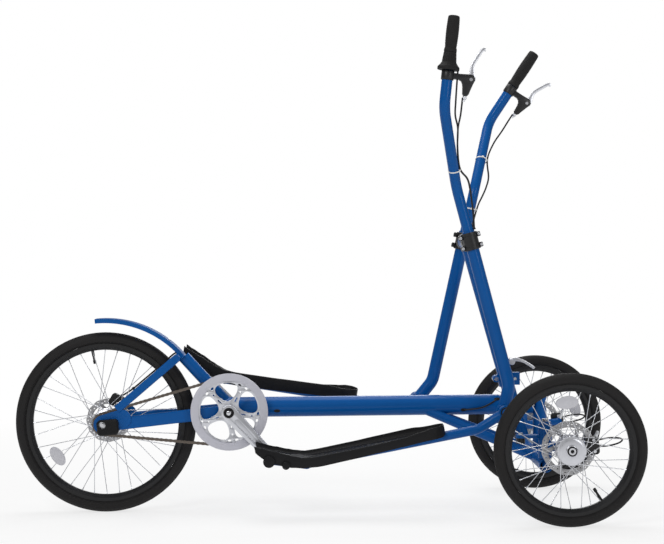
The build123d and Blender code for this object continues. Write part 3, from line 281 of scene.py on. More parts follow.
for wheel, axle in WHEEL_AXLES.items():
    body = f"{wheel}_wheel"
    rim_in, flange_r, flange_out = SPOKE_ENDS["rear" if wheel == "rear" else "front"]
    pitch = math.tau / (SPOKES // 2)
    nipples = bmesh.new()
    for flange in (1, -1):
        for index in range(SPOKES // 2):
            lean = 1 if index % 2 else -1
            turn = pitch * index + (pitch / 2 if flange == -1 else 0)
            start = round_axle(axle, flange_r + SPOKE_D / 2, turn, -flange * flange_out - lean * SPOKE_CROSS)
            end = round_axle(axle, rim_in, turn + lean * SWEEP, -flange * RIM_OFFSET)
            along = (end - start).normalized()
            lie = along.to_track_quat("Z", "Y").to_matrix().to_4x4()
            stud(nipples, Matrix.Translation(end - along * 0.0035) @ lie, 8, 0.0012, 0.009, 0.0018)
            bmesh.ops.create_uvsphere(nipples, u_segments=6, v_segments=4, radius=0.0019,
                                      matrix=Matrix.Translation(start - along * 0.001))
    add_piece(f"{wheel}_nipples", nipples, bright_steel, body)

    stem_turn = math.radians(VALVES[wheel])
    outward = Vector((math.cos(stem_turn), 0, math.sin(stem_turn)))
    lie = (-outward).to_track_quat("Z", "Y").to_matrix().to_4x4()
    valve = bmesh.new()
    for depth_in, length, wide in VALVE_STEPS:
        spot = Matrix.Translation(axle + outward * (rim_in - depth_in - length / 2))
        ease(valve, edges_of(stud(valve, spot @ lie, 14, wide, length, wide * 0.88)), 0.0007, 2)
    add_piece(f"{wheel}_valve", valve, grip_rubber, body)

    turn, reach = math.radians(REFLECTORS[wheel][0]), REFLECTORS[wheel][1]
    shape = Matrix.Translation(round_axle(axle, reach, turn, REFLECTOR_OUT)) @ Matrix.Rotation(
        -turn, 4, "Y") @ Matrix.Rotation(math.pi / 2, 4, "X") @ Matrix.Diagonal((*REFLECTOR_HALVES, 1, 1))
    lens_plate = bmesh.new()
    bmesh.ops.create_circle(lens_plate, cap_ends=True, segments=40, radius=1, matrix=shape)
    grown = bmesh.ops.extrude_face_region(lens_plate, geom=lens_plate.faces[:])
    bmesh.ops.translate(lens_plate, verts=[item for item in grown["geom"] if isinstance(item, bmesh.types.BMVert)],
                        vec=(0, -REFLECTOR_DEPTH, 0))
    ease(lens_plate, lens_plate.edges, 0.0018, 3)
    add_piece(f"{wheel}_reflector", lens_plate, reflector_lens, body)


# Hubs and brake discs: polished alloy shells with two flanges, turned on the lathe.
# The steel discs are wavy rings on slanted arms, bolted inside each front hub and on the left of the rear one.
DISC_SEAT, DISC_ARMS, DISC_PETALS, DISC_HOLE = 0.022, 6, 12, 0.0019
DISC_WAVE, DISC_BAND, DISC_SLANT, DISC_THICK = 0.0008, 0.0155, 0.42, 0.002


def plate(builder, loops, thickness, lie, bevel=0.0003):
    """Add a flat plate cut from closed outlines, the inner ones being holes, laid down by a matrix."""
    flat = bpy.data.curves.new("outline", "CURVE")
    flat.dimensions, flat.fill_mode = "2D", "BOTH"
    flat.extrude, flat.bevel_depth, flat.bevel_resolution = thickness / 2 - bevel, bevel, 1
    for loop in loops:
        spline = flat.splines.new("POLY")
        spline.points.add(len(loop) - 1)
        for point, (across, up) in zip(spline.points, loop):
            point.co = (across, up, 0, 1)
        spline.use_cyclic_u = True
    holder = bpy.data.objects.new("outline", flat)
    mesh = bpy.data.meshes.new_from_object(holder)
    older = set(builder.verts)
    builder.from_mesh(mesh)
    fresh = [vert for vert in builder.verts if vert not in older]
    bmesh.ops.transform(builder, matrix=lie, verts=fresh)
    bmesh.ops.remove_doubles(builder, verts=fresh, dist=0.00001)
    bpy.data.objects.remove(holder)
    bpy.data.curves.remove(flat)
    bpy.data.meshes.remove(mesh)


def beside(place, turn=0.0):
    """Lay flat work upright along the tricycle: its x runs forward, its y up, its z to the right."""
    return Matrix.Translation(place) @ Matrix.Rotation(math.pi / 2, 4, "X") @ Matrix.Rotation(turn, 4, "Z")


def polar(reach, turn):
    """A point of a flat outline, by its reach and angle."""
    return reach * math.cos(turn), reach * math.sin(turn)


def ring(radius, steps=48, centre=(0, 0), swell=0.0, waves=0):
    """A closed outline round a centre, wavy if asked."""
    outline = []
    for turn in (math.tau * step / steps for step in range(steps)):
        ahead, up = polar(radius + swell * math.cos(waves * turn), turn)
        outline.append((centre[0] + ahead, centre[1] + up))
    return outline


def disc_loops(radius):
    """The outlines of a brake disc: a wavy edge, windows between slanted arms, and rows of cooling holes."""
    inner, outer, pitch = DISC_SEAT + 0.004, radius - DISC_BAND, math.tau / DISC_ARMS
    loops = [ring(radius - DISC_WAVE, 192, swell=DISC_WAVE, waves=DISC_PETALS), ring(DISC_SEAT - 0.009, 40)]
    for middle in (pitch * arm for arm in range(DISC_ARMS)):
        window = [polar(outer, middle + DISC_SLANT + pitch * 0.40 * (step / 7 - 1)) for step in range(15)]
        window += [polar(inner, middle + pitch * 0.30 * (1 - step / 4)) for step in range(9)]
        loops += [window, ring(DISC_HOLE, 10, polar(DISC_SEAT - 0.0035, middle + pitch / 2))]
    for hole in range(DISC_PETALS * 3):
        reach = radius - 0.0045 - 0.0032 * (hole % 3)
        loops.append(ring(DISC_HOLE, 10, polar(reach, math.tau * hole / (DISC_PETALS * 3))))
    return loops


disc_steel = finish_of("disc_steel", (0.34, 0.34, 0.35), (0.44, 0.44, 0.45), (0.28, 0.42), 90, 2400, 0.08, Metallic=1)
FRONT_HUB = ((0.00757, 0.025), (0.0128, 0.025), (0.0148, 0.0243), (0.0158, 0.0228), (0.021, 0.0226),
             (0.0275, 0.0222), (0.0312, 0.0214), (0.0328, 0.0206), (0.0372, 0.0206), (0.038, 0.0198),
             (0.038, 0.0186), (0.0372, 0.018), (0.0262, 0.0178), (0.0215, 0.0165), (0.0182, 0.0135),
             (0.0172, 0.009), (0.0172, -0.009), (0.0182, -0.0135), (0.0215, -0.0165), (0.0262, -0.018),
             (0.0372, -0.018), (0.038, -0.0188), (0.038, -0.0206), (0.0372, -0.0214), (0.0262, -0.0216),
             (0.0215, -0.024), (0.0212, -0.0325), (0.0135, -0.0355), (0.0135, -0.044), (0.00757, -0.044))
for name, side in SIDES.items():
    axle = WHEEL_AXLES[f"{name}_front"]
    shell = bmesh.new()
    spun(shell, FRONT_HUB, axle, 72, closed=True, side=side)
    for bolt in range(DISC_ARMS):
        stud(shell, beside(round_axle(axle, 0.0185, math.tau * bolt / DISC_ARMS, -side * 0.0355)), 6, 0.0027, 0.003)
    add_piece(f"{name}_front_hub_shell", shell, silver_alloy, f"{name}_front_wheel",
              (f"{name}_front_hub",))
    rotor = bmesh.new()
    plate(rotor, disc_loops(0.070), DISC_THICK, beside(axle + Vector((0, -side * 0.034, 0)), 0.2))
    add_piece(f"{name}_front_disc", rotor, disc_steel, f"{name}_front_wheel")

shell = bmesh.new()
spun(shell, [(0.00507, -0.060), (0.011, -0.060), (0.011, -0.0555), (0.0228, -0.0545), (0.0238, -0.0535),
             (0.0238, -0.0505), (0.0215, -0.0495), (0.0205, -0.034), (0.030, -0.0292), (0.0352, -0.0287),
             (0.036, -0.028), (0.036, -0.0262), (0.0352, -0.0255), (0.0292, -0.0245), (0.0272, -0.019),
             (0.027, 0.019), (0.0292, 0.0245), (0.0352, 0.0255), (0.036, 0.0262), (0.036, 0.028),
             (0.0352, 0.0287), (0.0275, 0.0295), (0.0225, 0.033), (0.0222, 0.0455), (0.0145, 0.0485),
             (0.0125, 0.052), (0.0125, 0.060), (0.00507, 0.060)], REAR_AXLE, 72, closed=True)
add_piece("rear_hub_shell", shell, silver_alloy, "rear_wheel", ("rear_hub",))
rotor = bmesh.new()
plate(rotor, disc_loops(0.061), DISC_THICK, beside(REAR_AXLE + Vector((0, 0.047, 0))))
add_piece("rear_disc", rotor, disc_steel, "rear_wheel")


# Chain: a single roller chain of bushed links round the chainring and the rear sprocket.
# It is oiled steel gone brown, and its two runs are straight, so it is drawn as one standing loop.
CRANK = Vector((-0.24675, 0, 0.277))
CHAIN_OUT, RING_R, SPROCKET_R, LINKS = 0.052, 0.093, 0.0285, 86
LINK_END, LINK_WAIST, LINK_HALF = 0.0041, 0.0031, 0.0005
centre_run = Vector((CRANK.x - REAR_AXLE.x, CRANK.z - REAR_AXLE.z))
run_turn = math.atan2(centre_run.y, centre_run.x)
wrap = math.pi / 2 + math.asin((RING_R - SPROCKET_R) / centre_run.length)
straight = centre_run.length * math.sin(wrap)
chain_runs = (straight, 2 * wrap * RING_R, straight, (math.tau - 2 * wrap) * SPROCKET_R)


def chain_point(along):
    """The place of a chain pin, measured along the loop from the top of the sprocket."""
    upper, lower, far = Vector(polar(1, wrap)), Vector(polar(1, -wrap)), Vector((centre_run.length, 0))
    if along < chain_runs[0]:
        spot = (SPROCKET_R * upper).lerp(far + RING_R * upper, along / straight)
    elif along < sum(chain_runs[:2]):
        spot = far + Vector(polar(RING_R, wrap - (along - chain_runs[0]) / RING_R))
    elif along < sum(chain_runs[:3]):
        spot = (far + RING_R * lower).lerp(SPROCKET_R * lower, (along - sum(chain_runs[:2])) / straight)
    else:
        spot = Vector(polar(SPROCKET_R, -wrap - (along - sum(chain_runs[:3])) / SPROCKET_R))
    spot.rotate(Matrix.Rotation(run_turn, 2))
    return Vector((REAR_AXLE.x + spot.x, -CHAIN_OUT, REAR_AXLE.z + spot.y))


def arc(centre, radius, first, last, steps):
    """Points of an outline on an arc, from one angle to another."""
    swept = [polar(radius, first + (last - first) * step / steps) for step in range(steps + 1)]
    return [(centre + ahead, up) for ahead, up in swept]


def front_and_back(front, front_r, back, back_r, steps):
    """Two half circles that close the front and the back of a long outline."""
    return (arc(front, front_r, -math.pi / 2, math.pi / 2, steps)
            + arc(back, back_r, math.pi / 2, math.pi * 1.5, steps))


chain_links = bmesh.new()
chain_pins = [chain_point(sum(chain_runs) * link / LINKS) for link in range(LINKS)]
for link, pin in enumerate(chain_pins):
    following = chain_pins[(link + 1) % LINKS]
    half = (following - pin).length / 2
    turn = math.atan2(following.z - pin.z, following.x - pin.x)
    outline = front_and_back(half, LINK_END, -half, LINK_END, 5)
    outline = outline[:6] + [(0.0, LINK_WAIST)] + outline[6:] + [(0.0, -LINK_WAIST)]
    for across in ((-1, 1) if link % 2 else (-0.7, 0.7)):
        lie = beside((pin + following) / 2 + Vector((0, 0.0031 * across, 0)), turn)
        faces = [chain_links.faces.new([chain_links.verts.new(lie @ Vector((x, y, deep))) for x, y in outline])
                 for deep in (-LINK_HALF, LINK_HALF)]
        bmesh.ops.bridge_loops(chain_links, edges=[edge for face in faces for edge in face.edges])
    for wide, deep in ((0.0038, 0.0042), (0.0017, 0.0078)):
        stud(chain_links, beside(pin), 10, wide, deep)
add_piece("chain_links", chain_links, chain_steel, "frame", ("chain",))


# Chainring: a silver spider with five heart-shaped openings, and a pale guard ring riveted outside the chain.
# The crank arms are forged alloy with a long groove, each held on the spindle by a capped bolt.
guard_grey = finish_of("guard_grey", (0.50, 0.50, 0.56), (0.56, 0.56, 0.62), (0.34, 0.46), 30, 1500, 0.05)
CRANK_TURN = {"right": math.radians(-47), "left": math.radians(133)}
SPIDER_ARMS = 5
ARM_TURNS = [CRANK_TURN["right"] + math.tau * (arm + 0.5) / SPIDER_ARMS for arm in range(SPIDER_ARMS)]
guard = bmesh.new()
plate(guard, [ring(0.1043, 144), ring(0.0842, 128)], 0.003, beside(CRANK + Vector((0, -0.062, 0))), 0.0007)
for turn in ARM_TURNS:
    stud(guard, beside(round_axle(CRANK, 0.0875, turn, -0.0637)), 16, 0.0042, 0.0014, 0.003)
add_piece("chain_guard", guard, guard_grey, "crank", ("chainring",))


def turned(outline, turn):
    """An outline turned about its origin."""
    return [(x * math.cos(turn) - y * math.sin(turn), x * math.sin(turn) + y * math.cos(turn)) for x, y in outline]


ARM_SLOT = front_and_back(0.0435, 0.0024, 0.0325, 0.0024, 6)
CUT_OUTS = [[(0.0776 + 0.0037 * math.cos(point), 0.0776 * lean + 0.0056 * math.sin(point))
             for point in (math.tau * step / 20 for step in range(20))] for lean in (-0.125, 0.125)]
WINDOW = [(0.0545 + 0.0258 * math.cos(point), 0.0303 * math.sin(point) * (1 + 0.34 * math.cos(point)))
          for point in (math.tau * step / 36 for step in range(36))]
spider_loops = [ring(0.0876, 128), ring(0.0088, 32)]
for turn in ARM_TURNS:
    spider_loops += [turned(ARM_SLOT, turn), ring(0.0032, 16, polar(0.062, turn))]
    spider_loops += [turned(cut_out, turn) for cut_out in CUT_OUTS]
    spider_loops.append(turned(WINDOW, turn + math.pi / SPIDER_ARMS))
spider = bmesh.new()
plate(spider, spider_loops, 0.005, beside(CRANK + Vector((0, -0.0565, 0))), 0.0009)
plate(spider, [ring(0.0878, 128), ring(0.0822, 96)], 0.0056, beside(CRANK + Vector((0, -0.0518, 0))), 0.0006)
for turn in ARM_TURNS:
    stud(spider, beside(round_axle(CRANK, 0.0862, turn, -0.0598)), 16, 0.0048, 0.0022)
add_piece("chainring_spider", spider, silver_alloy, "crank")

ARM_LEN, ARM_BOSS_R, ARM_TIP_R = 0.162, 0.0195, 0.0130
ARM_PINS = {name: round_axle(CRANK, ARM_LEN, turn) for name, turn in CRANK_TURN.items()}
edge_turn = math.acos((ARM_BOSS_R - ARM_TIP_R) / ARM_LEN)
ARM_EDGE = arc(0, ARM_BOSS_R, edge_turn, math.tau - edge_turn, 24) + arc(ARM_LEN, ARM_TIP_R, -edge_turn, edge_turn, 18)
ARM_GROOVE = front_and_back(0.128, 0.0052, 0.034, 0.0082, 8)
for name, side in SIDES.items():
    arm = bmesh.new()
    for loops, thickness, out, bevel in (([ARM_EDGE], 0.0105, 0.07725, 0.0015),
                                         ([ARM_EDGE, ARM_GROOVE], 0.0035, 0.08425, 0.0008)):
        plate(arm, loops, thickness, beside(CRANK + Vector((0, side * out, 0)), CRANK_TURN[name]), bevel)
    spun(arm, [(0.0086, 0.0591), (0.0196, 0.0591), (0.0199, 0.073), (0.0086, 0.073)], CRANK, 48, True, side)
    spun(arm, [(0.0, 0.080), (0.0108, 0.080), (0.0108, 0.0985), (0.00698, 0.0986), (0.00698, 0.1815), (0.0, 0.182)],
         ARM_PINS[name], 32, side=side)
    add_piece(f"{name}_crank_forging", arm, silver_alloy, "crank", (f"{name}_crank_arm",))
    cap = bmesh.new()
    spun(cap, [(0.0, 0.0852), (0.0142, 0.0852), (0.0142, 0.0884), (0.0128, 0.0894), (0.0092, 0.0894),
               (0.0086, 0.0886), (0.0, 0.0886)], CRANK, 40, side=side)
    add_piece(f"{name}_crank_cap", cap, black_plastic, "crank")
    bolt = bmesh.new()
    spun(bolt, [(0.0, 0.0915), (0.0052, 0.0915), (0.0062, 0.0908), (0.0064, 0.0880), (0.0, 0.0880)], CRANK, 24,
         side=side)
    add_piece(f"{name}_crank_bolt", bolt, bright_steel, "crank")


# Footbeds: long moulded trays of black plastic with a raised rim, a high heel end and a turned-up toe.
# Each is screwed on top of its blue carrier tube; the caps over the crank pin's sleeve are the same plastic.
EYES = {"right": Vector((0.4935997, 0, 0.2774739)), "left": Vector((0.2748443, 0, 0.2889035))}
TRAY_OUT, TRAY_HALF, TRAY_FLOOR_T, SKIRT_T = 0.145, 0.050, 0.0036, 0.0055
TOE_START, TOE_LEN, TOE_TIP_HALF = 0.427, 0.045, 0.016
CAP_PLACES, CAP_DEPTH = ((0.0, 0.0, 0.0155), (0.042, -0.0185, 0.0105)), 0.0075
RIM_LINES = {"outer": ((-0.031, 0.047), (-0.013, 0.038), (0.018, 0.0245), (0.050, 0.009), (0.070, 0.000),
                       (0.093, -0.0085), (0.120, -0.0115), (0.219, -0.0120), (0.288, -0.0108), (0.357, -0.008),
                       (0.417, -0.001), (0.438, 0.0025), (0.456, 0.0028), (0.472, 0.001)),
             "inner": ((-0.031, 0.048), (-0.013, 0.039), (0.018, 0.026), (0.050, 0.013), (0.070, 0.0055),
                       (0.095, -0.0015), (0.130, -0.003), (0.224, -0.002), (0.295, 0.000), (0.392, 0.0022),
                       (0.416, -0.0008), (0.438, -0.0012), (0.458, 0.000), (0.472, 0.001))}
FLOOR_LINE = ((-0.031, 0.0335), (-0.024, 0.031), (0.015, 0.0145), (0.060, -0.0015), (0.112, -0.0142),
              (0.130, -0.0147), (0.430, -0.0147), (0.455, -0.0137), (0.464, -0.0115), (0.4675, -0.005),
              (0.4692, 0.0002), (0.472, 0.0004))
SKIRT_LINE = ((-0.031, 0.0285), (-0.025, 0.022), (-0.014, 0.010), (0.004, -0.008), (0.018, -0.012),
              (0.040, -0.0225), (0.056, -0.028), (0.089, -0.0355), (0.130, -0.0395), (0.215, -0.0375),
              (0.284, -0.0345), (0.353, -0.0315), (0.423, -0.0285), (0.460, -0.0285), (0.472, -0.024))
STATIONS = [-0.031, -0.0305, -0.029] + [-0.026 + 0.0101 * step for step in range(45)]
STATIONS += [TOE_START + TOE_LEN * math.sin(math.pi / 2 * step / 14) for step in range(15)]


def along_line(line, at):
    """The height of a line of points at a place along it, eased between the points."""
    for (start, low), (end, high) in zip(line, line[1:]):
        if at <= end:
            share = (at - start) / (end - start)
            return low + (high - low) * (share * share * (3 - 2 * share) * 0.5 + share * 0.5)
    return line[-1][1]


def tray_wall(half, rim, floor_at, skirt):
    """One side of the tray's section, from the foot of the skirt over the rim to the floor."""
    wall, high = min(0.004, half / 4), rim - floor_at
    return [(half - 0.0015, skirt), (half - 0.0005, (skirt + rim) / 2), (half, rim - 0.0035),
            (half - 0.0004, rim - 0.0014), (half - 0.0013, rim - 0.0003), (half - 0.0024, rim),
            (half - wall + 0.0004, rim - 0.0005), (half - wall - 0.0003, floor_at + 0.55 * high),
            (half - wall - 0.0016, floor_at + 0.2 * high), (half - wall - 0.0045, floor_at + 0.0003),
            (half * 0.35, floor_at)]


def tray_section(at, side):
    """The closed section of one tray at a place along it, as (across, up) points."""
    floor_at, skirt = along_line(FLOOR_LINE, at), along_line(SKIRT_LINE, at)
    half = TRAY_HALF - max(0.0, -0.027 - at) * 0.6
    if at > TOE_START:
        rounding = math.sqrt(max(0.0, 1 - ((at - TOE_START) / TOE_LEN) ** 2))
        half = TOE_TIP_HALF + (TRAY_HALF - TOE_TIP_HALF) * rounding
    under = [(half * 0.35, floor_at - TRAY_FLOOR_T), (half - SKIRT_T, floor_at - 0.0040), (half - SKIRT_T, skirt)]
    outer, inner = (tray_wall(half, along_line(RIM_LINES[wall], at), floor_at, skirt) for wall in ("outer", "inner"))
    section = [(-side * across, up) for across, up in outer] + [(side * across, up) for across, up in inner[::-1]]
    section += [(side * across, up) for across, up in under[::-1]]
    return section + [(-side * across, up) for across, up in under]


def skin(builder, loops):
    """Join closed loops of vertices into a tube with closed ends."""
    for first, second in zip(loops, loops[1:]):
        for step in range(len(first)):
            following = (step + 1) % len(first)
            builder.faces.new((first[step], first[following], second[following], second[step]))
    for end in (loops[0], loops[-1]):
        builder.faces.new(end)


for name, side in SIDES.items():
    body = f"{name}_platform"
    run = EYES[name] - ARM_PINS[name]
    platform_lie = beside(ARM_PINS[name] + Vector((0, side * TRAY_OUT, 0)), math.atan2(run.z, run.x))
    moulding = bmesh.new()
    skin(moulding, [[moulding.verts.new((at, up, across)) for across, up in tray_section(at, side)]
                    for at in STATIONS])
    bmesh.ops.transform(moulding, matrix=platform_lie, verts=moulding.verts)
    add_piece(f"{name}_footbed_moulding", moulding, black_plastic, body, (f"{name}_footbed",))
    caps = bmesh.new()
    for at, up, wide in CAP_PLACES:
        for end in (-1, 1):
            out = end * (0.0530 if end == -side else 0.0505)
            stud(caps, platform_lie @ Matrix.Translation((at, up, out)), 32, wide, CAP_DEPTH)
    ease(caps, caps.edges, 0.0012, 3)
    add_piece(f"{name}_pin_caps", caps, black_plastic, body)
    eye_cap = bmesh.new()
    spun(eye_cap, [(0.0145, 0.1595), (0.0145, 0.1625), (0.0130, 0.1648), (0.0, 0.1650)], EYES[name], 36, side=side)
    add_piece(f"{name}_eye_cap", eye_cap, black_plastic, body)


# Grips, shifter and brake levers: soft black sleeves on the bar ends, a twist shifter under the right grip.
# Each brake lever is a black perch clamped on the bar with a silver blade that curls at its tip.
PIVOT = Vector((0.40775, 0, 0.7335))
LEVER_SET = math.atan2(0.031, 0.463)
LEVER_OUT, GRIP_OUT, BAR_RISE = 0.108, 0.230, 0.150
GRIP_FOOT, GRIP_TOP = Vector((0.010, 0.355)), Vector((0.097, 0.579))
GRIP_SLANT = math.atan2(*(GRIP_TOP - GRIP_FOOT))
GRIP_LEN = {"right": 0.095, "left": 0.115}
PERCH_DOWN = {"right": 0.155, "left": 0.128}
RIB_PITCH, RIB_START, RIB_DEPTH = 0.0015, 0.012, 0.0006
PERCH_CLAMP = ((0.0112, 0.0118), (0.0160, 0.0118), (0.0168, 0.0105), (0.0168, -0.0105), (0.0160, -0.0125),
               (0.0112, -0.0125))
PERCH_EDGE = ((0.0, 0.0052), (0.030, 0.0042), (0.045, 0.0048), (0.058, 0.0056), (0.0655, 0.0040), (0.0692, -0.0005),
              (0.0698, -0.0060), (0.0660, -0.0160), (0.0600, -0.0340), (0.0575, -0.0430), (0.0545, -0.0468),
              (0.0475, -0.0468), (0.0450, -0.0440), (0.0440, -0.0300), (0.0420, -0.0180), (0.0380, -0.0105),
              (0.0300, -0.0066), (0.0150, -0.0064), (0.0, -0.0072))
BLADE_LINE = ((0.0638, -0.0060, 0.0068), (0.0640, 0.0030, 0.0066), (0.0628, 0.0110, 0.0052),
              (0.0616, 0.0200, 0.0038), (0.0612, 0.0290, 0.0031), (0.0632, 0.0370, 0.0029),
              (0.0676, 0.0460, 0.0028), (0.0730, 0.0565, 0.0028), (0.0782, 0.0665, 0.0026),
              (0.0818, 0.0728, 0.0025), (0.0852, 0.0758, 0.0024), (0.0890, 0.0762, 0.0023))
CABLE_BARREL = ((0.0, -0.001), (0.0036, -0.001), (0.0036, 0.004), (0.0056, 0.0045), (0.0056, 0.0105),
                (0.0048, 0.0115), (0.0034, 0.0120), (0.0034, 0.0180), (0.0, 0.0182))
lever_turn = {name: math.atan2(eye.x - PIVOT.x, PIVOT.z - eye.z) + LEVER_SET for name, eye in EYES.items()}


def on_lever(name, ahead, up, out):
    """A place on one lever, measured from its pivot in the lever's own upright position."""
    turn = lever_turn[name]
    return PIVOT + Vector((ahead * math.cos(turn) - up * math.sin(turn), SIDES[name] * out,
                           ahead * math.sin(turn) + up * math.cos(turn)))


def ribbon(spine):
    """The outline of a strip along a spine of (x, y, half width) points."""
    upper, lower = [], []
    for step, (x, y, wide) in enumerate(spine):
        before, after = spine[max(step - 1, 0)], spine[min(step + 1, len(spine) - 1)]
        aim = Vector((after[0] - before[0], after[1] - before[1])).normalized()
        upper.append((x - aim.y * wide, y + aim.x * wide))
        lower.append((x + aim.y * wide, y - aim.x * wide))
    return lower + upper[::-1]


grip_lie = {name: Matrix.Translation(on_lever(name, *GRIP_TOP, GRIP_OUT)) @ Matrix.Rotation(
    GRIP_SLANT - lever_turn[name], 4, "Y") for name in SIDES}
for name in SIDES:
    body, length = f"{name}_lever", GRIP_LEN[name]
    sleeve = [(0.0, 0.0), (0.0105, -0.0002), (0.0142, -0.0018), (0.0152, -0.0052), (0.0155, -0.0095)]
    for rib in range(int((length - 0.022) / RIB_PITCH)):
        down = RIB_START + RIB_PITCH * rib
        barrel = 0.0151 + 0.0018 * math.sin(math.pi * min(1.0, 1.1 * down / length))
        sleeve.append((barrel - (RIB_DEPTH if rib % 3 == 2 else 0.0), -down))
    sleeve += [(0.0166, -length + 0.0075), (0.0169, -length + 0.004), (0.0166, -length + 0.0004), (0.0112, -length)]
    grip = bmesh.new()
    lathe(grip, sleeve, grip_lie[name], 40)
    add_piece(f"{name}_grip_sleeve", grip, grip_rubber, body, (f"{name}_grip",))

    lie = grip_lie[name] @ Matrix.Translation((0, 0, -PERCH_DOWN[name]))
    upright = lie @ Matrix.Rotation(math.pi / 2, 4, "X")
    perch = bmesh.new()
    lathe(perch, PERCH_CLAMP, lie, 36, closed=True)
    plate(perch, [PERCH_EDGE], 0.0165, upright, 0.0022)
    add_piece(f"{name}_lever_perch", perch, black_metal, body, (f"{name}_brake_perch",))
    blade = bmesh.new()
    plate(blade, [ribbon(BLADE_LINE)], 0.0100, upright, 0.0020)
    add_piece(f"{name}_lever_blade", blade, silver_alloy, body, (f"{name}_brake_blade",))
    bolts = bmesh.new()
    for face in (-1, 1):
        stud(bolts, lie @ Matrix.Translation((0.0610, face * 0.0100, -0.0060)) @ Matrix.Rotation(math.pi / 2, 4, "X"),
             20, 0.0044, 0.0022)
    lathe(bolts, CABLE_BARREL, lie @ Matrix.Translation((0.0515, 0, -0.0460)) @ Matrix.Rotation(
        math.radians(190), 4, "Y"), 20)
    add_piece(f"{name}_lever_bolts", bolts, bright_steel, body)

shifter = bmesh.new()
turnings = [(0.0112, -0.0955), (0.0162, -0.0955), (0.0168, -0.0975)]
for rib in range(18):
    turnings.append((0.0172 + 0.0022 * rib / 17 - (RIB_DEPTH if rib % 2 else 0), -0.099 - 0.0013 * rib))
turnings += [(0.0205, -0.1235), (0.0232, -0.1280), (0.0272, -0.1325), (0.0288, -0.1345), (0.0290, -0.1400),
             (0.0282, -0.1418), (0.0112, -0.1420)]
lathe(shifter, turnings, grip_lie["right"], 48, closed=True)
add_piece("shifter_barrel", shifter, grip_rubber, "right_lever", ("twist_shifter",))


# Pivot clamps: black split clamps that hold each lever tube on the end of the mast's cross axle.
# Four silver socket bolts draw the two halves of each clamp together.
TUBE_CLAMP = ((0.01715, 0.0235), (0.0214, 0.0235), (0.0224, 0.0225), (0.0224, 0.0150), (0.0214, 0.0140),
              (0.0214, -0.0140), (0.0224, -0.0150), (0.0224, -0.0225), (0.0214, -0.0235), (0.01715, -0.0235))
AXLE_CLAMP = ((0.01012, 0.0608), (0.0212, 0.0608), (0.0220, 0.0596), (0.0220, 0.0200), (0.01012, 0.0190))
SOCKET_BOLT = ((0.0, 0.0012), (0.0018, 0.0012), (0.0022, 0.0032), (0.0038, 0.0032), (0.0042, 0.0026),
               (0.0042, -0.0015), (0.0, -0.0015))
EAR_PLACES = [(ahead, up) for up in (-0.0145, 0.0145) for ahead in (-1, 1)]
for name, side in SIDES.items():
    body = f"{name}_lever"
    lie = Matrix.Translation(on_lever(name, 0, 0, LEVER_OUT)) @ Matrix.Rotation(-lever_turn[name], 4, "Y")
    clamp = bmesh.new()
    lathe(clamp, TUBE_CLAMP, lie, 56, closed=True)
    inward = Matrix.Translation(PIVOT + Vector((0, side * LEVER_OUT, 0))) @ Matrix.Rotation(side * math.pi / 2, 4, "X")
    lathe(clamp, AXLE_CLAMP, inward, 48, closed=True)
    for ahead, up in EAR_PLACES:
        shape = Matrix.Translation((ahead * 0.0248, -side * 0.001, up)) @ Matrix.Diagonal((0.010, 0.020, 0.013, 1))
        ear = bmesh.ops.create_cube(clamp, size=1, matrix=lie @ shape)
        ease(clamp, edges_of(ear["verts"]), 0.0022, 2)
    add_piece(f"{name}_clamp_halves", clamp, black_metal, body, (f"{name}_clamp",))
    bolts = bmesh.new()
    for ahead, up in EAR_PLACES:
        lathe(bolts, SOCKET_BOLT, lie @ Matrix.Translation((ahead * 0.0252, side * 0.0102, up)) @ Matrix.Rotation(
            -side * math.pi / 2, 4, "X"), 16)
    add_piece(f"{name}_clamp_bolts", bolts, bright_steel, body)


# Front knuckles and calipers: blue steel forgings on the kingpins, each with a stub axle and a steering arm.
# The axle ends in a silver nut inside a black dust ring; the black caliper is bolted ahead of the axle.
CALIPER_TURN, CALIPER_REACH = math.radians(6), 0.062
AXLE_END_Y, KINGPIN_OUT = 0.3498, 0.235
BRAKE_ARM = arc(0, 0.007, math.radians(60), math.radians(280), 11)
BRAKE_ARM += [(ahead, up + 0.012) for ahead, up in arc(0.034, 0.0036, math.radians(-70), math.radians(110), 9)]
for name, side in SIDES.items():
    body = f"{name}_knuckle"
    forging = bmesh.new()
    forging.from_mesh(nodes[body].data)
    bmesh.ops.delete(forging, context="FACES", geom=[
        face for face in forging.faces if min(abs(vert.co.y) for vert in face.verts) > AXLE_END_Y])
    add_piece(f"{name}_knuckle_forging", forging, blue_paint, body, (body,))
    axle = WHEEL_AXLES[f"{name}_front"]
    dust = bmesh.new()
    spun(dust, [(0.0099, 0.0256), (0.0127, 0.0256), (0.0130, 0.0285), (0.0124, 0.0300), (0.0108, 0.0303),
                (0.0099, 0.0296)], axle, 40, True, side)
    spun(dust, [(0.0, 0.0276), (0.0050, 0.0276)], axle, 24, side=side)
    add_piece(f"{name}_dust_ring", dust, black_plastic, body)
    nut = bmesh.new()
    spun(nut, [(0.0046, 0.0250), (0.0097, 0.0256), (0.0097, 0.0292), (0.0090, 0.0301), (0.0052, 0.0301),
               (0.0046, 0.0296)], axle, 36, True, side)
    spot = round_axle(FRONT_AXLE, CALIPER_REACH, CALIPER_TURN)
    for along in (-0.0145, 0.0145):
        for out in (0.2985, 0.2780):
            lie = beside((spot.x, side * out, spot.z), CALIPER_TURN - math.pi / 2)
            stud(nut, lie @ Matrix.Translation((along, 0.004, 0)), 6, 0.0046, 0.003)
    lie = beside((spot.x, side * 0.2768, spot.z), CALIPER_TURN + math.radians(38))
    plate(nut, [BRAKE_ARM], 0.003, lie, 0.0005)
    stud(nut, Matrix.Translation((0.52175, side * KINGPIN_OUT, 0.2295)), 6, 0.0072, 0.0055, 0.0068)
    add_piece(f"{name}_axle_nut", nut, bright_steel, body)


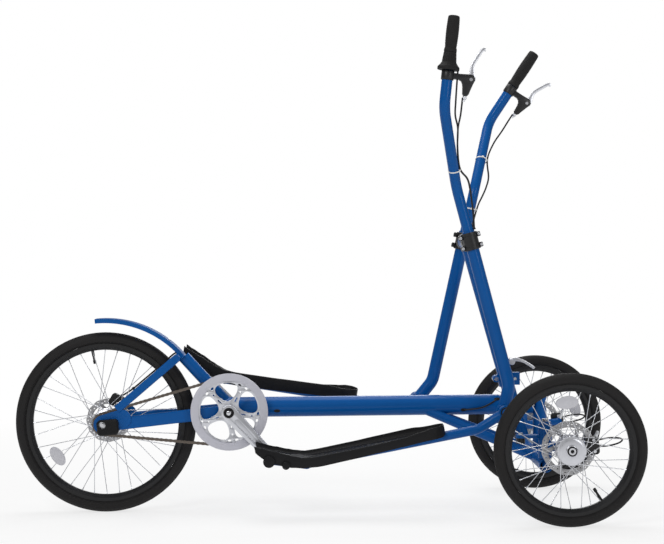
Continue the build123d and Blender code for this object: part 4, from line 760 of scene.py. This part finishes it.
# Cables: black housings from the brake levers and the shifter, tied to the bars with white ties.
# They bow out below a tie and enter the pivot clamps through grommets; short ones loop at the calipers and
# run along the frame.
def hose(builder, route, radius, sides=10, steps=8):
    """Add a round cable that runs smoothly through the points of a route."""
    points = [Vector(point) for point in route]
    guides = [points[0] * 2 - points[1]] + points + [points[-1] * 2 - points[-2]]
    line = []
    for first, second, third, fourth in zip(guides, guides[1:], guides[2:], guides[3:]):
        for share in (step / steps for step in range(steps)):
            line.append(0.5 * (2 * second + (third - first) * share
                               + (2 * first - 5 * second + 4 * third - fourth) * share ** 2
                               + (3 * second - first - 3 * third + fourth) * share ** 3))
    line.append(points[-1])
    normal = (line[1] - line[0]).orthogonal().normalized()
    rings = []
    for step, spot in enumerate(line):
        aim = (line[min(step + 1, len(line) - 1)] - line[max(step - 1, 0)]).normalized()
        normal = (normal - aim * normal.dot(aim)).normalized()
        across = aim.cross(normal)
        turns = (polar(radius, math.tau * turn / sides) for turn in range(sides))
        rings.append([builder.verts.new(spot + normal * first + across * second) for first, second in turns])
    skin(builder, rings)


cable_black = finish_of("cable_black", (0.008, 0.008, 0.009), (0.013, 0.013, 0.014), (0.32, 0.45), 80, 1500, 0.05,
                        Specular_IOR_Level=0.3)
tie_white = finish_of("tie_white", (0.72, 0.72, 0.70), (0.80, 0.80, 0.78), (0.35, 0.5), 90, 1500, 0.05)
CABLE_R, THIN_CABLE_R = 0.0024, 0.0022
DOWN_BAR = ((0.0340, 0.295, 0.203), (0.0232, 0.245, 0.1660), (0.0192, 0.195, 0.1365), (0.0178, 0.165, 0.1200),
            (0.0170, 0.140, 0.1110), (0.0168, 0.110, 0.1082), (0.0168, 0.070, 0.1080), (0.0172, 0.040, 0.1080),
            (0.0176, 0.030, 0.1080))
BOWS = {"right": (0.0, 0.0, 0.0, 0.0150, 0.0175, 0.0145, 0.0090, 0.0025, 0.0),
        "left": (0.0, 0.0, 0.0150, 0.0145, 0.0100, 0.0030, 0.0, 0.0, 0.0)}
BRAKE_START = ((0.0633, 0.3680, 0.230), (0.0560, 0.3490, 0.2295), (0.0470, 0.3250, 0.2210))
SHIFT_START = ((0.0700, 0.4400, 0.230), (0.0580, 0.4060, 0.230), (0.0440, 0.3640, 0.2290), (0.0345, 0.3300, 0.2200))
CABLE_STARTS = {"right": ((BRAKE_START, 0.0027), (SHIFT_START, -0.0027)), "left": ((BRAKE_START, 0.0),)}
TIE_UPS = {"right": (0.195,), "left": (0.240, 0.095)}
TIE_BAND = ((0.0148, -0.0018), (0.0157, -0.0018), (0.0157, 0.0018), (0.0148, 0.0018))
CALIPER_LOOP = ((0.712, 0.2745, 0.2015), (0.730, 0.2765, 0.2005), (0.752, 0.279, 0.2035), (0.771, 0.280, 0.2095),
                (0.779, 0.280, 0.2170), (0.770, 0.279, 0.2215), (0.752, 0.278, 0.2225), (0.735, 0.2765, 0.2205),
                (0.719, 0.2745, 0.2170))
for name, side in SIDES.items():
    body = f"{name}_lever"
    rise = PERCH_DOWN["right"] - PERCH_DOWN[name]
    lifts = (rise, rise * 0.9, rise * 0.55, 0.0)
    cables, fittings = bmesh.new(), bmesh.new()
    for start, shift in CABLE_STARTS[name]:
        route = [on_lever(name, ahead + lift * math.sin(GRIP_SLANT), up + lift * math.cos(GRIP_SLANT), out)
                 for (ahead, up, out), lift in zip(start, lifts)]
        route += [on_lever(name, ahead + bow, up, out + shift)
                  for (ahead, up, out), bow in zip(DOWN_BAR, BOWS[name])]
        hose(cables, route, CABLE_R)
        lie = Matrix.Translation(on_lever(name, 0.0174, 0.0312, LEVER_OUT + shift))
        stud(fittings, lie @ Matrix.Rotation(-lever_turn[name], 4, "Y"), 20, 0.0046, 0.006, 0.0034)
    add_piece(f"{name}_lever_cables", cables, cable_black, body)
    add_piece(f"{name}_cable_grommets", fittings, grip_rubber, body)
    ties = bmesh.new()
    foot, top = on_lever(name, 0, BAR_RISE, LEVER_OUT), on_lever(name, *GRIP_FOOT, GRIP_OUT)
    for up in TIE_UPS[name]:
        along, centre = (on_lever(name, 0, 1, 0) - PIVOT).normalized(), on_lever(name, 0, up, LEVER_OUT)
        if up > BAR_RISE:
            along, centre = (top - foot).normalized(), foot.lerp(top, (up - BAR_RISE) / (GRIP_FOOT.y - BAR_RISE))
        fore = (on_lever(name, 1, 0, 0) - PIVOT).normalized()
        fore = (fore - along * fore.dot(along)).normalized()
        lie = Matrix.Translation(centre + fore * 0.0024) @ Matrix(
            (fore, along.cross(fore), along)).transposed().to_4x4() @ Matrix.Diagonal((1.13, 1.0, 1.0, 1.0))
        lathe(ties, TIE_BAND, lie, 40, closed=True)
        head = Matrix.Translation((0.0, -side * 0.0172, 0.0)) @ Matrix.Diagonal((0.0055, 0.0035, 0.0050, 1))
        bmesh.ops.create_cube(ties, size=1, matrix=lie @ head)
    add_piece(f"{name}_cable_ties", ties, tie_white, body)
    loop = bmesh.new()
    hose(loop, [(x, side * out, up) for x, out, up in CALIPER_LOOP], THIN_CABLE_R)
    add_piece(f"{name}_caliper_cable", loop, cable_black, f"{name}_knuckle")

MAIN_Z, MAIN_R = 0.284, 0.0275
frame_cables = bmesh.new()
hose(frame_cables, [(-0.5525, 0.0505, 0.3135), (-0.5430, 0.0600, 0.3180), (-0.5200, 0.0632, 0.3330),
                    (-0.4784, 0.0603, 0.3670), (-0.4300, 0.0570, 0.4075), (-0.4050, 0.0500, 0.4290),
                    (-0.3870, 0.0320, 0.4350), (-0.3650, 0.0205, 0.4170), (-0.3100, 0.0198, 0.3560),
                    (-0.2750, 0.0205, 0.3190), (-0.2560, 0.0245, 0.3030), (-0.2350, 0.0275, 0.2950),
                    (-0.2200, 0.0270, 0.2920)], CABLE_R)
hose(frame_cables, [(0.396, -0.0262, 0.2725), (0.412, -0.0294, 0.2735), (0.440, -0.0299, 0.2775),
                    (0.462, -0.0290, 0.2860), (0.479, -0.0275, 0.2965), (0.487, -0.0225, 0.3010)], THIN_CABLE_R)
add_piece("frame_cables", frame_cables, cable_black, "frame")
grommets = bmesh.new()
for x, up, face in ((0.394, 0.2722, RIGHT), (-0.118, 0.2749, RIGHT), (0.4865, 0.3005, RIGHT), (-0.2215, 0.2925, LEFT)):
    lean = math.asin((up - MAIN_Z) / MAIN_R)
    lie = Matrix.Translation((x, face * 0.0273 * math.cos(lean), up)) @ Matrix.Rotation(
        -face * (math.pi / 2 - lean), 4, "X") @ Matrix.Diagonal((1.9, 1.0, 1.0, 1.0))
    lathe(grommets, [(0.0, 0.0004), (0.0026, 0.0004), (0.0032, 0.0012), (0.0042, 0.0012), (0.0048, 0.0002)], lie, 28)
for x, up in ((-0.5200, 0.3330), (-0.4500, 0.3905)):
    lie = Matrix.Translation((x, 0.0615, up)) @ Matrix.Rotation(math.radians(50), 4, "Y")
    lathe(grommets, [(0.0026, -0.003), (0.0042, -0.003), (0.0042, 0.003), (0.0026, 0.003)], lie, 20, closed=True)
add_piece("frame_grommets", grommets, grip_rubber, "frame")


# Mast hinge and quick release: the mast folds on a bolt behind it, locked by a silver cam lever in front.
# The lever is a thin curved blade on a round cam, with a nut on its far end.
CAM_Z, HINGE_Z = 0.402, 0.355
MAST_LEAN = (0.532 - PIVOT.x) / (PIVOT.z - MAIN_Z)
RELEASE_LINE = ((0.004, 0.006, 0.0040), (0.014, 0.0068, 0.0036), (0.024, 0.0046, 0.0030), (0.034, 0.0004, 0.0027),
                (0.044, -0.0056, 0.0026), (0.054, -0.0122, 0.0027), (0.061, -0.0172, 0.0024))


def by_mast(ahead, up):
    """A place in the middle plane, measured ahead of the mast's axis at a height."""
    return Vector((PIVOT.x + (PIVOT.z - up) * MAST_LEAN + ahead, 0, up))


cam, hinge_pin = by_mast(0.028, CAM_Z), by_mast(-0.0275, HINGE_Z)
release = bmesh.new()
lathe(release, [(0.0, -0.0180), (0.0070, -0.0180), (0.0086, -0.0165), (0.0088, -0.0100), (0.0072, -0.0090),
                (0.0072, 0.0090), (0.0088, 0.0100), (0.0090, 0.0220), (0.0078, 0.0238), (0.0, 0.0242)], beside(cam), 32)
plate(release, [ribbon(RELEASE_LINE)], 0.0090, beside(cam + Vector((0, -0.0195, 0))), 0.0012)
add_piece("release_lever", release, silver_alloy, "mast", ("quick_release",))
hinge_bolts = bmesh.new()
for side in (RIGHT, LEFT):
    stud(hinge_bolts, beside(hinge_pin + Vector((0, side * 0.0184, 0))), 6, 0.0066, 0.0032, 0.0062)
    stud(hinge_bolts, beside(hinge_pin + Vector((0.052, side * 0.0128, 0))), 20, 0.0044, 0.0026, 0.0040)
add_piece("hinge_bolts", hinge_bolts, bright_steel, "mast")


# Frame fittings: the kingpins' top bolts, the fender's bolt, and the rear axle's washers.
# They are plain zinc-plated screws, set where the pieces are bolted to one another.
FENDER_TURN, FENDER_REACH = math.radians(52), 0.2858
fasteners = bmesh.new()
for side in SIDES.values():
    stud(fasteners, Matrix.Translation((0.58575, side * KINGPIN_OUT, 0.2652)), 6, 0.0088, 0.007, 0.0084)
    spun(fasteners, [(0.0052, 0.0681), (0.0118, 0.0681), (0.0118, 0.0697), (0.0096, 0.0699)], REAR_AXLE, 32, side=side)
lie = Matrix.Translation(round_axle(REAR_AXLE, FENDER_REACH, FENDER_TURN)) @ Matrix.Rotation(
    math.pi / 2 - FENDER_TURN, 4, "Y") @ Matrix.Diagonal((1, 1, 0.5, 1))
bmesh.ops.create_uvsphere(fasteners, u_segments=16, v_segments=8, radius=0.005, matrix=lie)
add_piece("frame_fasteners", fasteners, bright_steel, "frame")


# Stage: a pale floor that runs out to white, soft studio lamps and the photograph's camera.
# The floor shows mostly its own white to the camera, and keeps a soft shadow of the wheels.
floor_mesh = bmesh.new()
bmesh.ops.create_grid(floor_mesh, x_segments=2, y_segments=2, size=30)
floor_data = bpy.data.meshes.new("floor")
floor_mesh.to_mesh(floor_data)
floor_mesh.free()
floor = bpy.data.objects.new("floor", floor_data)
bpy.context.collection.objects.link(floor)
floor_white = bpy.data.materials.new("floor_white")
floor_white.use_nodes = True
tree = floor_white.node_tree
path = tree.nodes.new("ShaderNodeLightPath")
seen = tree.nodes.new("ShaderNodeMath")
seen.operation = "MAXIMUM"
share = tree.nodes.new("ShaderNodeMath")
share.operation = "MULTIPLY"
reach = tree.nodes.new("ShaderNodeVectorMath")
reach.operation = "LENGTH"
fade = tree.nodes.new("ShaderNodeMapRange")
for socket, value in (("From Min", 0.9), ("From Max", 2.6), ("To Min", 0.72), ("To Max", 1.0)):
    fade.inputs[socket].default_value = value
spot = tree.nodes.new("ShaderNodeTexCoord")
matte = tree.nodes["Principled BSDF"]
matte.inputs["Base Color"].default_value = (0.92, 0.92, 0.92, 1)
matte.inputs["Roughness"].default_value = 0.9
matte.inputs["Specular IOR Level"].default_value = 0.0
white = tree.nodes.new("ShaderNodeEmission")
mixed = tree.nodes.new("ShaderNodeMixShader")
for source, target in ((spot.outputs["Object"], reach.inputs[0]), (reach.outputs["Value"], fade.inputs["Value"]),
                       (fade.outputs["Result"], share.inputs[1]), (path.outputs["Is Camera Ray"], seen.inputs[0]),
                       (path.outputs["Is Glossy Ray"], seen.inputs[1]), (seen.outputs[0], share.inputs[0]),
                       (share.outputs[0], mixed.inputs["Fac"]), (matte.outputs["BSDF"], mixed.inputs[1]),
                       (white.outputs["Emission"], mixed.inputs[2]),
                       (mixed.outputs["Shader"], tree.nodes["Material Output"].inputs["Surface"])):
    tree.links.new(source, target)
floor_data.materials.append(floor_white)

world = bpy.data.worlds.new("studio")
bpy.context.scene.world = world
world.use_nodes = True
tree = world.node_tree
path = tree.nodes.new("ShaderNodeLightPath")
seen = tree.nodes.new("ShaderNodeMath")
seen.operation = "MAXIMUM"
level = tree.nodes.new("ShaderNodeMapRange")
level.inputs["To Min"].default_value = 0.3
level.inputs["To Max"].default_value = 1.0
tree.links.new(path.outputs["Is Camera Ray"], seen.inputs[0])
tree.links.new(path.outputs["Is Transmission Ray"], seen.inputs[1])
tree.links.new(seen.outputs[0], level.inputs["Value"])
tree.links.new(level.outputs["Result"], tree.nodes["Background"].inputs["Strength"])
tree.nodes["Background"].inputs["Color"].default_value = (1, 1, 1, 1)

for name, place_at, aim, size, power in (("key_lamp", (-1.6, -3.0, 2.8), (0, 0, 0.4), 1.6, 48),
                                         ("fill_lamp", (2.4, -2.6, 1.6), (0, 0, 0.4), 1.4, 20),
                                         ("top_lamp", (0.0, 0.6, 3.2), (0, 0, 0.3), 2.2, 44),
                                         ("back_lamp", (0.6, 3.0, 2.0), (0, 0, 0.5), 1.8, 30)):
    lamp = bpy.data.lights.new(name, "AREA")
    lamp.shape = "DISK"
    lamp.size = size
    lamp.energy = power
    holder = bpy.data.objects.new(name, lamp)
    bpy.context.collection.objects.link(holder)
    holder.location = place_at
    holder.rotation_euler = (Vector(aim) - Vector(place_at)).to_track_quat("-Z", "Y").to_euler()

YAW, PITCH, ROLL = math.radians(0.969), math.radians(-1.702), math.radians(-0.545)
ahead = Vector((math.sin(YAW) * math.cos(PITCH), math.cos(YAW) * math.cos(PITCH), math.sin(PITCH)))
level_right = Vector((math.cos(YAW), -math.sin(YAW), 0))
level_up = level_right.cross(ahead)
camera_right = level_right * math.cos(ROLL) + level_up * math.sin(ROLL)
camera_up = level_up * math.cos(ROLL) - level_right * math.sin(ROLL)
lens = bpy.data.cameras.new("camera")
lens.lens, lens.sensor_width, lens.sensor_fit = 84.03, 36.0, "HORIZONTAL"
lens.shift_x, lens.shift_y = -0.0131, 0.0315
camera = bpy.data.objects.new("camera", lens)
bpy.context.collection.objects.link(camera)
camera.matrix_world = Matrix.Translation((-0.0123, -4.2587, 0.722)) @ Matrix(
    (camera_right, camera_up, -ahead)).transposed().to_4x4()
bpy.context.scene.camera = camera
bpy.context.scene.view_settings.view_transform = "Standard"
